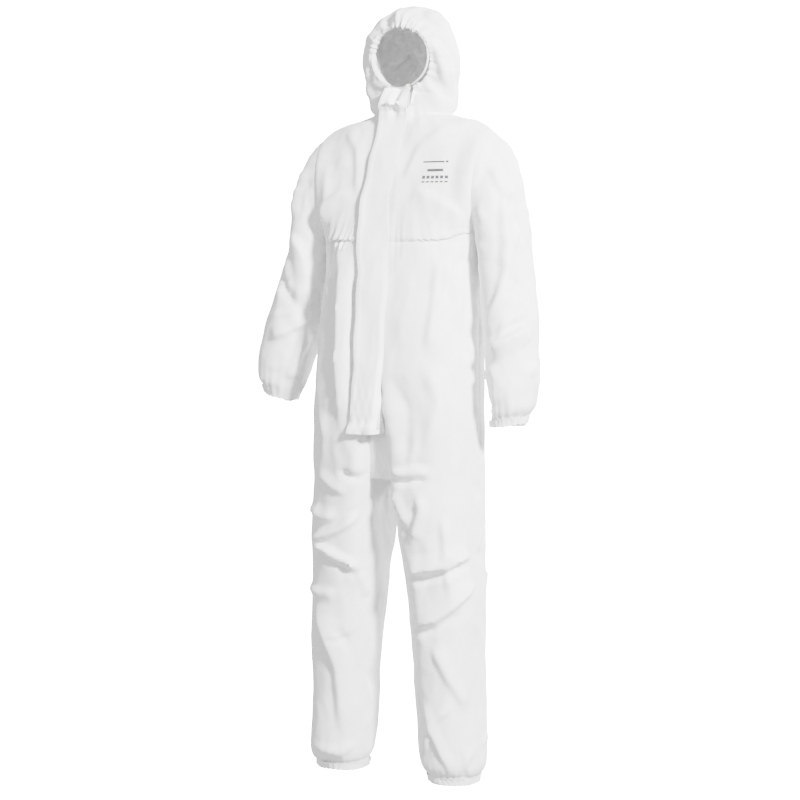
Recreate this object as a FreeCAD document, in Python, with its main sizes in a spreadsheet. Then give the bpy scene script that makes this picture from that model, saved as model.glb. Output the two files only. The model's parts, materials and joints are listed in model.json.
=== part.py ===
import FreeCAD, Part
import Sketcher
import math
import os

# Hooded disposable coverall for chemical protection, hanging as it does on a wearer of about 1.78 m.
# Millimetres. +Z is up, the front faces -Y and the wearer's left is +X. The origin is on the floor,
# midway between the two ankle hems.

doc = FreeCAD.newDocument("protective_suit")
sheet = doc.addObject("Spreadsheet::Sheet", "sizes")

# ---------------------------------------------------------------- driving dimensions

DRIVING = {
    "cloth_wall": 2.0,
    "cloth_drop": 1.5,
    "joint_gap": 0.5,
    # The front centre line is one long arc in the YZ plane, so the zip track and the flap follow it.
    "front_arc_radius": 2000.0,
    "front_arc_y": 1859.5,
    "front_arc_z": 808.0,
    # seams
    "waist_seam_z": 1210.0,
    "bodice_side_seam_y": 35.0,
    "seat_side_seam_y": -8.0,
    "leg_side_seam_y": -20.0,
    "hood_seam_y": 52.0,
    # hips
    "hip_axis_y": -15.0,
    "hip_axis_z": 705.0,
    "hip_cut_radius": 145.0,
    "gusset_half_width": 29.5,
    "leg_inner_gap": 1.0,
    "leg_inner_round": 12.0,
    "gusset_depth": 100.0,
    "crotch_z": 675.0,
    # neck and face
    "hood_axis_y": 132.0,
    "hood_axis_z": 1500.0,
    "collar_back_y": 112.0,
    "chin_y": -20.0,
    "chin_z": 1558.0,
    "face_half_width": 73.0,
    "face_half_height": 68.0,
    "face_centre_z": 1624.0,
    # storm flap
    "flap_free_edge_x": -52.5,
    "flap_sewn_edge_x": 17.5,
    "flap_bottom_z": 790.0,
    "flap_top_z": 1549.0,
    "flap_clearance": 6.0,
    "flap_thickness": 1.2,
    "flap_axis_stand_off": 3.0,
    # zip
    "zip_bottom_z": 800.0,
    "zip_top_z": 1546.0,
    "zip_slot_half_width": 9.0,
    "tape_width": 14.0,
    "tape_thickness": 0.8,
    "tape_depth": 3.5,
    "tape_start_x": 3.2,
    "tape_end_allowance": 4.0,
    "chain_half_width": 3.0,
    "chain_thickness": 2.4,
    "chain_back_depth": 4.2,
    "chain_split": 0.15,
    "stop_length": 3.0,
    "stop_half_width": 3.1,
    "stop_proud": 1.0,
    "stop_gap": 0.2,
    "slider_half_width": 5.2,
    "slider_length": 10.0,
    "slider_wall": 1.1,
    "slider_clearance": 0.45,
    "pull_length": 22.0,
    "pull_width": 5.5,
    "pull_thickness": 1.2,
    "pin_radius": 0.5,
    "pin_hole_radius": 0.56,
    "lug_width": 1.2,
    "lug_gap": 0.35,
    "lug_height": 1.6,
    "lug_length": 2.4,
    # elastics
    "wrist_outer_radius": 40.0,
    "wrist_inner_radius": 36.0,
    "ankle_outer_radius": 58.0,
    "ankle_inner_radius": 53.0,
    "cuff_length": 14.0,
    "cuff_flat": 1.0,
    "elastic_set_back": 1.0,
    "elastic_width": 12.0,
    "elastic_gap": 0.3,
    "face_elastic_thickness": 3.0,
    "foot_y": -20.0,
    "waist_elastic_z": 1184.0,
    "waist_elastic_width": 18.0,
    "waist_elastic_thickness": 1.2,
    "waist_elastic_inset": 4.0,
    # adhesive strip of the flap and its paper liner
    "adhesive_start_x": -48.0,
    "adhesive_end_x": 8.0,
    "adhesive_bottom_z": 1524.0,
    "adhesive_top_z": 1542.0,
    "adhesive_thickness": 0.3,
    "liner_thickness": 0.2,
    "liner_end_x": 17.0,
    "liner_tab_width": 10.0,
    "liner_tab_top_z": 1549.5,
    # label in the neck
    "label_width": 50.0,
    "label_height": 30.0,
    "label_thickness": 0.6,
    "label_top_z": 1494.0,
    "label_inset": 4.0,
    "label_lean": 14.0,
}

# Trunk stations from the crotch to the neck: height, half width, half of the flat front,
# y of the widest line, y of the back.
TRUNK = {
    "crotch": (675.0, 204.0, 78.0, -16.0, 101.0),
    "thigh": (740.0, 204.0, 74.0, -16.0, 104.0),
    "seat": (830.0, 203.0, 70.0, -18.0, 107.0),
    "hip": (920.0, 199.0, 66.0, -14.0, 108.0),
    "waist": (1050.0, 192.0, 64.0, -5.0, 114.0),
    "ribs": (1160.0, 188.0, 62.0, 8.0, 124.0),
    "armpit": (1200.0, 189.0, 62.0, 16.0, 128.0),
    "chest": (1250.0, 214.0, 62.0, 25.0, 134.0),
    "bust": (1310.0, 240.0, 62.0, 32.0, 142.0),
    "blade": (1370.0, 252.0, 60.0, 37.0, 146.0),
    "yoke": (1415.0, 252.0, 56.0, 40.0, 145.0),
    "shoulder": (1452.0, 216.0, 48.0, 44.0, 140.0),
    "collar": (1480.0, 174.0, 34.0, 48.0, 135.0),
    "neck": (1500.0, 104.0, 22.0, 46.0, 130.0),
}

# Hood stations from the neck to the crown: height, half width, half of the flat front,
# y of the front, y of the widest line, y of the back.
HOOD = {
    "base": (1500.0, 104.0, 22.0, -17.0, 46.0, 130.0),
    "nape": (1540.0, 108.0, 22.0, -1.0, 42.0, 136.0),
    "jaw": (1575.0, 113.0, 20.0, 3.0, 36.0, 142.0),
    "cheek": (1615.0, 115.0, 20.0, -16.0, 30.0, 146.0),
    "temple": (1650.0, 112.0, 18.0, -23.0, 30.0, 144.0),
    "brow": (1685.0, 101.0, 14.0, -21.0, 36.0, 134.0),
    "head": (1712.0, 83.0, 12.0, -8.0, 46.0, 118.0),
    "dome": (1732.0, 56.0, 10.0, 14.0, 56.0, 96.0),
    "crown": (1743.0, 24.0, 8.0, 42.0, 62.0, 78.0),
}

# Leg stations from the crotch down: height, x of the inside, x of the outside, x where the
# inside curve starts, x where the outside curve starts, y of the front, widest line and back.
LEG = {
    "upper": (620.0, 31.0, 205.0, 72.0, 100.0, -132.0, -18.0, 92.0),
    "mid_thigh": (540.0, 32.0, 207.0, 92.0, 118.0, -124.0, -20.0, 83.0),
    "knee": (430.0, 40.0, 210.0, 112.0, 132.0, -116.0, -22.0, 72.0),
    "shin": (240.0, 58.0, 211.0, 128.0, 140.0, -106.0, -22.0, 62.0),
    "calf": (90.0, 68.0, 216.0, 138.0, 146.0, -102.0, -22.0, 58.0),
    "ankle": (40.0, 72.0, 217.0, 141.0, 147.0, -97.0, -21.0, 55.0),
}

# Sleeve stations from the armhole down: x and z of the armpit side, x and z of the outer side,
# y of the middle and half depth.
SLEEVE = {
    "head": (188.5, 1200.0, 212.0, 1457.0, 36.0, 84.0),
    "cap": (190.5, 1195.5, 247.0, 1422.0, 36.0, 86.0),
    "deltoid": (192.5, 1190.0, 273.0, 1362.0, 34.0, 86.0),
    "biceps": (194.5, 1180.0, 288.0, 1288.0, 30.0, 84.0),
    "upper_arm": (197.0, 1150.0, 298.0, 1196.0, 24.0, 80.0),
}
SLEEVE_LOWER = {
    "left_elbow": (213.0, 1010.0, 334.0, 1038.0, 0.0, 68.0),
    "left_forearm": (228.0, 880.0, 344.0, 906.0, -14.0, 62.0),
    "left_cuff": (237.0, 828.0, 336.0, 850.0, -18.0, 53.0),
    "right_elbow": (218.0, 1010.0, 345.0, 1038.0, -6.0, 70.0),
    "right_forearm": (238.0, 915.0, 359.0, 944.0, -22.0, 64.0),
    "right_cuff": (254.0, 872.0, 361.0, 897.0, -26.0, 54.0),
}
CUFF = {
    "left": (280.0, -17.0, 806.0, 10.0),
    "right": (309.0, -26.0, 855.0, 13.0),
}

TRUNK_FIELDS = ("height", "half_width", "flat", "widest", "back")
HOOD_FIELDS = ("height", "half_width", "flat", "front", "widest", "back")
LEG_FIELDS = ("height", "inside", "outside", "inner_start", "outer_start", "front", "widest", "back")
SLEEVE_FIELDS = ("inner_x", "inner_z", "outer_x", "outer_z", "middle", "half_depth")
CUFF_FIELDS = ("x", "y", "z", "tilt")


def fill_sheet():
    rows = list(DRIVING.items())
    tables = (
        ("trunk", TRUNK, TRUNK_FIELDS),
        ("hood", HOOD, HOOD_FIELDS),
        ("leg", LEG, LEG_FIELDS),
        ("sleeve", SLEEVE, SLEEVE_FIELDS),
        ("sleeve", SLEEVE_LOWER, SLEEVE_FIELDS),
        ("cuff", CUFF, CUFF_FIELDS),
    )
    for prefix, table, fields in tables:
        for station, values in table.items():
            for field, value in zip(fields, values):
                rows.append((f"{prefix}_{station}_{field}", value))
    for index, (alias, value) in enumerate(rows, start=1):
        sheet.set(f"A{index}", alias)
        sheet.set(f"B{index}", str(value))
        sheet.setAlias(f"B{index}", alias)
    doc.recompute()


def size(alias):
    return float(sheet.get(alias))


def station(prefix, name, fields):
    return {field: size(f"{prefix}_{name}_{field}") for field in fields}


fill_sheet()
WALL = size("cloth_wall")
DROP = size("cloth_drop")
GAP = size("joint_gap")
V = FreeCAD.Vector
FAR = 2500.0


# ---------------------------------------------------------------- cloth sections and lofts

def quarter(centre, along, across):
    """A quarter of an ellipse from centre + along to centre + across."""
    curve = Part.BezierCurve()
    curve.setPoles([centre + along, centre + along + across, centre + across])
    curve.setWeight(2, math.sqrt(0.5))
    return curve.toShape()


def oval(origin, right, rear, start, end, near, far, front, widest, back):
    """A closed oval with flat front and back.

    It runs from -near to far along right, is flat between start and end, and runs from front to
    back along rear, widest where rear is widest.
    """
    def at(x, y):
        return origin + right * x + rear * y

    front_depth = rear * (front - widest)
    back_depth = rear * (back - widest)
    edges = [
        Part.makeLine(at(start, front), at(end, front)),
        quarter(at(end, widest), front_depth, right * (far - end)),
        quarter(at(end, widest), right * (far - end), back_depth),
        Part.makeLine(at(end, back), at(start, back)),
        quarter(at(start, widest), back_depth, right * (near - start)),
        quarter(at(start, widest), right * (near - start), front_depth),
    ]
    return Part.Wire(edges)


def front_y(z):
    rise = z - size("front_arc_z")
    return size("front_arc_y") - math.sqrt(size("front_arc_radius") ** 2 - rise ** 2)


def level_oval(z, near, far, start, end, front, widest, back, inset):
    """A horizontal section; the inset one is smaller by the wall and lower by the drop."""
    drop = DROP if inset else 0.0
    return oval(V(0, 0, z - drop), V(1, 0, 0), V(0, 1, 0), start, end,
                near + inset, far - inset, front + inset, widest, back - inset)


def loft(wires):
    return Part.makeLoft(wires, True, True)


def trunk_loft(inset):
    """The trunk; its inset copy ends level with it at the neck, so the neck stays open."""
    wires = []
    for name in TRUNK:
        s = station("trunk", name, TRUNK_FIELDS)
        lift = DROP if inset and name == "neck" else 0.0
        wires.append(level_oval(s["height"] + lift, -s["half_width"], s["half_width"],
                                -s["flat"], s["flat"], front_y(s["height"]), s["widest"], s["back"], inset))
    return loft(wires)


def hood_loft(inset):
    wires = []
    for name in HOOD:
        s = station("hood", name, HOOD_FIELDS)
        wires.append(level_oval(s["height"], -s["half_width"], s["half_width"], -s["flat"], s["flat"],
                                s["front"], s["widest"], s["back"], inset))
    return loft(wires)


def leg_loft(inset):
    """The left leg with the half of the trunk above it, which the hip cut gives to the leg."""
    wires = []
    inner_edge = size("leg_inner_edge")
    inner_start = inner_edge + size("leg_inner_round")
    for name in ("hip", "seat", "thigh", "crotch"):
        s = station("trunk", name, TRUNK_FIELDS)
        wires.append(level_oval(s["height"], inner_edge, s["half_width"], inner_start, s["flat"],
                                front_y(s["height"]), s["widest"], s["back"], inset))
    for name in LEG:
        s = station("leg", name, LEG_FIELDS)
        wires.append(level_oval(s["height"], s["inside"], s["outside"], s["inner_start"],
                                s["outer_start"], s["front"], s["widest"], s["back"], inset))
    radius = size("ankle_outer_radius")
    middle = size("ankle_x")
    flat = size("cuff_flat")
    lift = DROP if inset else 0.0
    foot_y = size("foot_y")
    for z in (size("cuff_length"), 0.0):
        wires.append(level_oval(z + lift, middle - radius, middle + radius, middle - flat, middle + flat,
                                foot_y - radius, foot_y, foot_y + radius, inset))
    return loft(wires)


def sleeve_section(inner, outer, middle, half_depth, inset):
    """A section across the arm, from its inner point to its outer point."""
    span = outer - inner
    half = 0.5 * span.Length
    along = span.normalize()
    centre = inner + along * half + V(0, middle, 0)
    reach = half - inset
    depth = half_depth - inset
    flat = size("cuff_flat")
    return oval(centre, along, V(0, 1, 0), -flat, flat, -reach, reach, -depth, 0.0, depth)


def sleeve_loft(side_name, inset):
    side = 1.0 if side_name == "left" else -1.0
    wires = []
    lower = [name for name in SLEEVE_LOWER if name.startswith(side_name)]
    for name in list(SLEEVE) + lower:
        s = station("sleeve", name, SLEEVE_FIELDS)
        inner = V(side * s["inner_x"], 0, s["inner_z"])
        outer = V(side * s["outer_x"], 0, s["outer_z"])
        wires.append(sleeve_section(inner, outer, s["middle"], s["half_depth"], inset))
    cuff = station("cuff", side_name, CUFF_FIELDS)
    radius = size("wrist_outer_radius")
    tilt = math.radians(cuff["tilt"])
    across = V(side * math.cos(tilt), 0, math.sin(tilt))
    outward = V(side * math.sin(tilt), 0, -math.cos(tilt))
    mouth = V(side * cuff["x"], 0, cuff["z"])
    for back_off in (size("cuff_length"), 0.0):
        middle = mouth - outward * back_off
        wires.append(sleeve_section(middle - across * radius, middle + across * radius,
                                    cuff["y"], radius, inset))
    return loft(wires)


def shell(make, *names):
    return make(*names, 0.0).cut(make(*names, WALL))


# ---------------------------------------------------------------- seam planes

def slab(x0, x1, y0, y1, z0, z1):
    return Part.makeBox(x1 - x0, y1 - y0, z1 - z0, V(x0, y0, z0))


def in_front_of(y):
    return slab(-FAR, FAR, -FAR, y, -FAR, FAR)


def behind(y):
    return slab(-FAR, FAR, y, FAR, -FAR, FAR)


def above_neck_plane(shift):
    """The side of the slanted neck plane that tilts with the hood."""
    y = size("hood_axis_y")
    z = size("hood_axis_z")
    slope = math.atan2(size("chin_z") - z, y - size("chin_y"))
    half_space = Part.makeBox(2 * FAR, 2 * FAR, FAR, V(-FAR, -FAR, shift))
    half_space.rotate(V(0, 0, 0), V(1, 0, 0), -math.degrees(slope))
    half_space.translate(V(0, y, z))
    return half_space


def outside_armhole(side, shift):
    """The side of the armhole plane where the sleeve is."""
    inner = V(side * size("sleeve_head_inner_x"), 0, size("sleeve_head_inner_z"))
    outer = V(side * size("sleeve_head_outer_x"), 0, size("sleeve_head_outer_z"))
    lean = math.degrees(math.atan2(outer.x - inner.x, outer.z - inner.z))
    start = shift if side > 0 else -FAR - shift
    half_space = Part.makeBox(FAR, 2 * FAR, 2 * FAR, V(start, -FAR, -FAR))
    half_space.rotate(V(0, 0, 0), V(0, 1, 0), lean)
    half_space.translate(inner)
    return half_space


def hip_drum(radius):
    return Part.makeCylinder(radius, 2 * FAR, V(-FAR, size("hip_axis_y"), size("hip_axis_z")), V(1, 0, 0))


def add_cloth(label, shape):
    piece = doc.addObject("Part::Feature", label)
    piece.Label = label
    piece.Shape = shape.removeSplitter() if shape.ShapeType == "Solid" else shape
    return piece


def one_solid(shape):
    """The largest solid of a boolean result."""
    return max(shape.Solids, key=lambda solid: solid.Volume)


# ---------------------------------------------------------------- trunk, hips and gusset

def make_trunk():
    cloth = shell(trunk_loft)
    hips = slab(-FAR, FAR, -FAR, FAR, size("hip_axis_z"), FAR)
    cloth = cloth.common(hips).cut(hip_drum(size("hip_cut_radius")))
    above_armpit = slab(-FAR, FAR, -FAR, FAR, size("sleeve_head_inner_z"), FAR)
    for side in (1.0, -1.0):
        cloth = cloth.cut(outside_armhole(side, 0.0).common(above_armpit))
    slot = size("zip_slot_half_width")
    zip_slot = slab(-slot, slot, -FAR, 0.5 * size("bodice_side_seam_y"), size("tape_bottom_z"), FAR)
    cloth = cloth.cut(zip_slot)
    waist = size("waist_seam_z")
    seam = size("bodice_side_seam_y")
    seat_seam = size("seat_side_seam_y")
    bodice = cloth.common(slab(-FAR, FAR, -FAR, FAR, waist, FAR))
    trousers = cloth.common(slab(-FAR, FAR, -FAR, FAR, 0.0, waist))
    left = slab(0.0, FAR, -FAR, FAR, -FAR, FAR)
    right = slab(-FAR, 0.0, -FAR, FAR, -FAR, FAR)
    add_cloth("back_bodice", one_solid(bodice.common(behind(seam))))
    for name, half in (("left", left), ("right", right)):
        add_cloth(f"{name}_front_bodice", one_solid(bodice.common(in_front_of(seam)).common(half)))
        add_cloth(f"{name}_front_trouser", one_solid(trousers.common(in_front_of(seat_seam)).common(half)))
        add_cloth(f"{name}_seat", one_solid(trousers.common(behind(seat_seam)).common(half)))


def gusset_profile(x0, x1, inset):
    """The half ellipse under the crotch, extruded from x0 to x1, with a block up to the hips."""
    top = size("crotch_z") + size("gusset_depth")
    front = front_y(top)
    back = size("trunk_thigh_back")
    middle = V(x0, 0.5 * (front + back), top)
    half_depth = V(0, 0.5 * (back - front) - inset, 0)
    drop = V(0, 0, inset - size("gusset_depth"))
    edges = [
        quarter(middle, half_depth.negative(), drop),
        quarter(middle, drop, half_depth),
        Part.makeLine(middle + half_depth, middle - half_depth),
    ]
    return Part.Face(Part.Wire(edges)).extrude(V(x1 - x0, 0, 0))


def make_gusset():
    """The U-shaped strip under the crotch, between the two legs."""
    half = size("gusset_half_width")
    strip = gusset_profile(-half, half, 0.0).cut(gusset_profile(-half, half, WALL))
    add_cloth("crotch_gusset", one_solid(strip))


def make_legs():
    inner_edge = size("leg_inner_edge")
    clear_of = inner_edge - size("leg_inner_gap")
    hip_z = size("hip_axis_z")
    gusset_top = size("crotch_z") + size("gusset_depth")
    cloth = shell(leg_loft)
    open_fork = gusset_profile(clear_of, inner_edge + WALL, 0.0)
    open_waist = slab(clear_of, inner_edge + WALL, -FAR, FAR, gusset_top, FAR)
    cloth = cloth.cut(open_fork).cut(open_waist)
    below = slab(-FAR, FAR, -FAR, FAR, -FAR, hip_z)
    drum = hip_drum(size("hip_cut_radius") - GAP)
    cloth = cloth.common(below.fuse(drum))
    seam = size("leg_side_seam_y")
    for part_name, region in (("front", in_front_of(seam)), ("back", behind(seam))):
        panel = one_solid(cloth.common(region))
        add_cloth(f"left_leg_{part_name}", panel)
        add_cloth(f"right_leg_{part_name}", panel.mirror(V(0, 0, 0), V(1, 0, 0)))


def make_sleeves():
    for name, side in (("left", 1.0), ("right", -1.0)):
        cloth = shell(sleeve_loft, name)
        add_cloth(f"{name}_sleeve", one_solid(cloth.common(outside_armhole(side, GAP))))


def make_hood():
    cloth = shell(hood_loft)
    hole = Part.Ellipse(V(0, 0, 0), size("face_half_width"), size("face_half_height")).toShape()
    seam = size("hood_seam_y")
    opening = Part.Face(Part.Wire(hole)).extrude(V(0, 0, -FAR))
    opening.rotate(V(0, 0, 0), V(1, 0, 0), 90.0)
    opening.translate(V(0, seam - FAR, size("face_centre_z")))
    cloth = cloth.cut(opening)
    slot = size("zip_slot_half_width")
    cloth = cloth.cut(slab(-slot, slot, -FAR, 0.5 * seam, -FAR, size("face_centre_z")))
    hood = cloth.common(above_neck_plane(GAP))
    collar = cloth.cut(above_neck_plane(0.0)).common(in_front_of(size("collar_back_y")))
    add_cloth("hood_front", one_solid(hood.common(in_front_of(seam))))
    add_cloth("hood_back", one_solid(hood.common(behind(seam))))
    add_cloth("left_chin_panel", one_solid(collar.common(slab(0.0, FAR, -FAR, FAR, -FAR, FAR))))
    add_cloth("right_chin_panel", one_solid(collar.common(slab(-FAR, 0.0, -FAR, FAR, -FAR, FAR))))


# ---------------------------------------------------------------- pieces that follow the front arc

def sketch_on(body, plane_role, name):
    sketch = body.newObject("Sketcher::SketchObject", name)
    planes = [plane for plane in body.Origin.OriginFeatures if plane.Role == plane_role]
    sketch.AttachmentSupport = (planes[0], [""])
    sketch.MapMode = "FlatFace"
    return sketch


def bind_distance(sketch, kind, name, first, second, expression):
    """Fix the distance between two sketch points to an expression of the sheet."""
    index = sketch.addConstraint(Sketcher.Constraint(kind, first[0], first[1], second[0], second[1], 1.0))
    sketch.renameConstraint(index, name)
    sketch.setExpression(f"Constraints.{name}", expression)


def bound_rectangle(sketch, low_x, low_y, width, height):
    """A rectangle whose corner and sides are bound to expressions."""
    corners = [V(1, 1, 0), V(2, 1, 0), V(2, 2, 0), V(1, 2, 0)]
    for index in range(4):
        sketch.addGeometry(Part.LineSegment(corners[index], corners[(index + 1) % 4]))
    for index in range(4):
        sketch.addConstraint(Sketcher.Constraint("Coincident", index, 2, (index + 1) % 4, 1))
    for index, kind in enumerate(("Horizontal", "Vertical", "Horizontal", "Vertical")):
        sketch.addConstraint(Sketcher.Constraint(kind, index))
    if low_x:
        bind_distance(sketch, "DistanceX", "low_x", (-1, 1), (0, 1), low_x)
    else:
        sketch.addConstraint(Sketcher.Constraint("PointOnObject", 0, 1, -2))
    bind_distance(sketch, "DistanceY", "low_y", (-1, 1), (0, 1), low_y)
    bind_distance(sketch, "DistanceX", "width", (0, 1), (0, 2), width)
    bind_distance(sketch, "DistanceY", "height", (1, 1), (1, 2), height)


def arc_angle(z):
    return math.degrees(math.asin((z - size("front_arc_z")) / size("front_arc_radius")))


def sweep_expression(bottom, top):
    angle = "asin((sizes.{} - sizes.front_arc_z) / sizes.front_arc_radius)"
    return angle.format(top) + " - " + angle.format(bottom)


def revolve_on_arc(body, name, low_x, inner_radius, width, thickness, bottom, top):
    sketch = sketch_on(body, "XY_Plane", f"{name}_section")
    bound_rectangle(sketch, low_x, inner_radius, width, thickness)
    revolution = body.newObject("PartDesign::Revolution", f"{name}_sweep")
    revolution.Profile = sketch
    revolution.ReferenceAxis = (sketch, ["H_Axis"])
    revolution.setExpression("Angle", sweep_expression(bottom, top))
    return revolution


def place_on_arc(body, x, top):
    turn = FreeCAD.Rotation(V(1, 0, 0), 180.0 - arc_angle(top))
    body.Placement = FreeCAD.Placement(V(x, size("front_arc_y"), size("front_arc_z")), turn)


def arc_piece(label, x, depth, width, thickness, bottom, top):
    """A strip bent along the front arc; depth is how far its inner face stands outside the arc."""
    body = doc.addObject("PartDesign::Body", label)
    body.Label = label
    revolve_on_arc(body, label, None, f"sizes.front_arc_radius + {depth}", width, thickness, bottom, top)
    place_on_arc(body, x, size(top))
    return body


def make_zip():
    start = size("tape_start_x")
    width = size("tape_width")
    tape_depth = "-sizes.tape_depth - sizes.tape_thickness"
    chain_depth = "-sizes.chain_back_depth"
    split = size("chain_split")
    half = size("chain_half_width")
    tape_args = (tape_depth, "sizes.tape_width", "sizes.tape_thickness", "tape_bottom_z", "tape_top_z")
    chain_args = (chain_depth, "sizes.chain_half_width - sizes.chain_split", "sizes.chain_thickness",
                  "zip_bottom_z", "zip_top_z")
    arc_piece("left_zip_tape", start, *tape_args)
    arc_piece("right_zip_tape", -start - width, *tape_args)
    arc_piece("left_zip_coil", split, *chain_args)
    arc_piece("right_zip_coil", -half, *chain_args)


def make_storm_flap():
    flap_span = "sizes.flap_sewn_edge_x - sizes.flap_free_edge_x"
    arc_piece("storm_flap", size("flap_free_edge_x"), "sizes.flap_clearance", flap_span,
              "sizes.flap_thickness", "flap_bottom_z", "flap_top_z")
    adhesive_span = "sizes.adhesive_end_x - sizes.adhesive_start_x"
    arc_piece("chin_adhesive", size("adhesive_start_x"), "sizes.flap_clearance - sizes.adhesive_thickness",
              adhesive_span, "sizes.adhesive_thickness", "adhesive_bottom_z", "adhesive_top_z")
    make_release_liner()


def make_release_liner():
    """The paper over the chin adhesive, with a tab that shows above the flap."""
    depth = "sizes.flap_clearance - sizes.adhesive_thickness - sizes.liner_thickness"
    radius = f"sizes.front_arc_radius + {depth}"
    span = "sizes.liner_end_x - sizes.adhesive_start_x"
    liner = doc.addObject("PartDesign::Body", "release_liner")
    liner.Label = "release_liner"
    strip = revolve_on_arc(liner, "liner_strip", None, radius, span, "sizes.liner_thickness",
                           "adhesive_bottom_z", "adhesive_top_z")
    tab = revolve_on_arc(liner, "liner_tab", f"{span} - sizes.liner_tab_width", radius,
                         "sizes.liner_tab_width", "sizes.liner_thickness",
                         "adhesive_bottom_z", "liner_tab_top_z")
    for sweep in (strip, tab):
        sweep.Reversed = True
    place_on_arc(liner, size("adhesive_start_x"), size("adhesive_bottom_z"))


# ---------------------------------------------------------------- zip slider, pull and stops

def bound_box(name, x, y, z, length, width, height):
    """A box whose corner and sides are expressions of the sheet."""
    box = doc.addObject("Part::Box", name)
    for field, expression in (("Length", length), ("Width", width), ("Height", height),
                              ("Placement.Base.x", x), ("Placement.Base.y", y), ("Placement.Base.z", z)):
        box.setExpression(field, expression)
    return box


def bound_pin(name, radius, length):
    """A cylinder along X, centred on the hinge line of the pull."""
    pin = doc.addObject("Part::Cylinder", name)
    pin.Placement = FreeCAD.Placement(V(0, 0, 0), FreeCAD.Rotation(V(0, 1, 0), 90.0))
    for field, expression in (("Radius", radius), ("Height", length),
                              ("Placement.Base.x", f"-({length}) / 2"),
                              ("Placement.Base.y", "sizes.hinge_y"), ("Placement.Base.z", "sizes.hinge_z")):
        pin.setExpression(field, expression)
    return pin


def combine(kind, label, pieces):
    """A fuse of several pieces, or a cut of the second from the first."""
    result = doc.addObject(kind, label)
    result.Label = label
    if kind == "Part::Cut":
        result.Base, result.Tool = pieces
    else:
        result.Shapes = pieces
    return result


def place_on_track(piece, z):
    """Put a piece drawn in the track's own frame on the front arc: Z along the zip, -Y outwards."""
    piece.Placement = FreeCAD.Placement(V(0, front_y(z), z), FreeCAD.Rotation(V(1, 0, 0), -arc_angle(z)))


def make_slider():
    plate = bound_box("slider_plate", "-sizes.slider_half_width", "sizes.slider_front_y",
                      "-sizes.slider_length", "2 * sizes.slider_half_width", "sizes.slider_wall",
                      "sizes.slider_length")
    pieces = [plate]
    lug_x = {"left": "sizes.pull_width / 2 + sizes.lug_gap",
             "right": "-sizes.pull_width / 2 - sizes.lug_gap - sizes.lug_width"}
    flange_x = {"left": "sizes.slider_half_width - sizes.slider_wall", "right": "-sizes.slider_half_width"}
    for side in ("left", "right"):
        pieces.append(bound_box(f"slider_{side}_flange", flange_x[side], "sizes.slider_front_y",
                                "-sizes.slider_length", "sizes.slider_wall", "sizes.flange_depth",
                                "sizes.slider_length"))
        pieces.append(bound_box(f"slider_{side}_lug", lug_x[side], "sizes.slider_front_y - sizes.lug_height",
                                "-sizes.lug_length - 1", "sizes.lug_width",
                                "sizes.lug_height + sizes.slider_wall / 2", "sizes.lug_length"))
    blank = combine("Part::MultiFuse", "slider_blank", pieces)
    hole = bound_pin("slider_pin_hole", "sizes.pin_hole_radius", "4 * sizes.slider_half_width")
    slider = combine("Part::Cut", "zip_slider", (blank, hole))
    place_on_track(slider, size("zip_top_z") - size("slider_rest_gap"))


def make_pull():
    blade = bound_box("pull_blade", "-sizes.pull_width / 2", "sizes.hinge_y - sizes.pull_thickness / 2",
                      "sizes.hinge_z - sizes.pull_length", "sizes.pull_width", "sizes.pull_thickness",
                      "sizes.pull_length + sizes.pull_thickness / 2")
    pin = bound_pin("pull_pin", "sizes.pin_radius",
                    "sizes.pull_width + 2 * sizes.lug_gap + 2 * sizes.lug_width")
    pull = combine("Part::MultiFuse", "zip_pull", [blade, pin])
    place_on_track(pull, size("zip_top_z") - size("slider_rest_gap"))


def stop_group(label, boxes, z):
    """Crimped stops, drawn in the track's own frame and put on it at height z."""
    group = doc.addObject("Part::Compound", label)
    group.Label = label
    group.Links = boxes
    place_on_track(group, z)


def make_stops():
    depth = "sizes.chain_thickness + sizes.stop_proud"
    half = "sizes.stop_half_width - sizes.chain_split"
    left = bound_box("left_top_stop", "sizes.chain_split", "sizes.stop_front_y", "sizes.stop_gap",
                     half, depth, "sizes.stop_length")
    right = bound_box("right_top_stop", "-sizes.stop_half_width", "sizes.stop_front_y", "sizes.stop_gap",
                      half, depth, "sizes.stop_length")
    stop_group("zip_top_stops", [left, right], size("zip_top_z"))
    bridge = bound_box("bottom_stop_bridge", "-sizes.stop_half_width", "sizes.stop_front_y",
                       "-sizes.stop_length - sizes.stop_gap", "2 * sizes.stop_half_width", depth,
                       "sizes.stop_length")
    stop_group("zip_bottom_stop", [bridge], size("zip_bottom_z"))


# ---------------------------------------------------------------- elastics and label

def elastic_ring(label, outer, inner, centre, direction):
    """A flat elastic sewn inside a hem; direction points out of the mouth."""
    body = doc.addObject("PartDesign::Body", label)
    body.Label = label
    sketch = sketch_on(body, "XY_Plane", f"{label}_section")
    for index, (name, radius) in enumerate((("outer", outer), ("inner", inner))):
        sketch.addGeometry(Part.Circle(V(0, 0, 0), V(0, 0, 1), 10.0 - index))
        sketch.addConstraint(Sketcher.Constraint("Coincident", index, 3, -1, 1))
        constraint = sketch.addConstraint(Sketcher.Constraint("Radius", index, 10.0 - index))
        sketch.renameConstraint(constraint, name)
        sketch.setExpression(f"Constraints.{name}", radius)
    pad = body.newObject("PartDesign::Pad", f"{label}_pad")
    pad.Profile = sketch
    pad.setExpression("Length", "sizes.elastic_width")
    start = centre - direction * (size("elastic_set_back") + size("elastic_width"))
    body.Placement = FreeCAD.Placement(start, FreeCAD.Rotation(V(0, 0, 1), direction))


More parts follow.
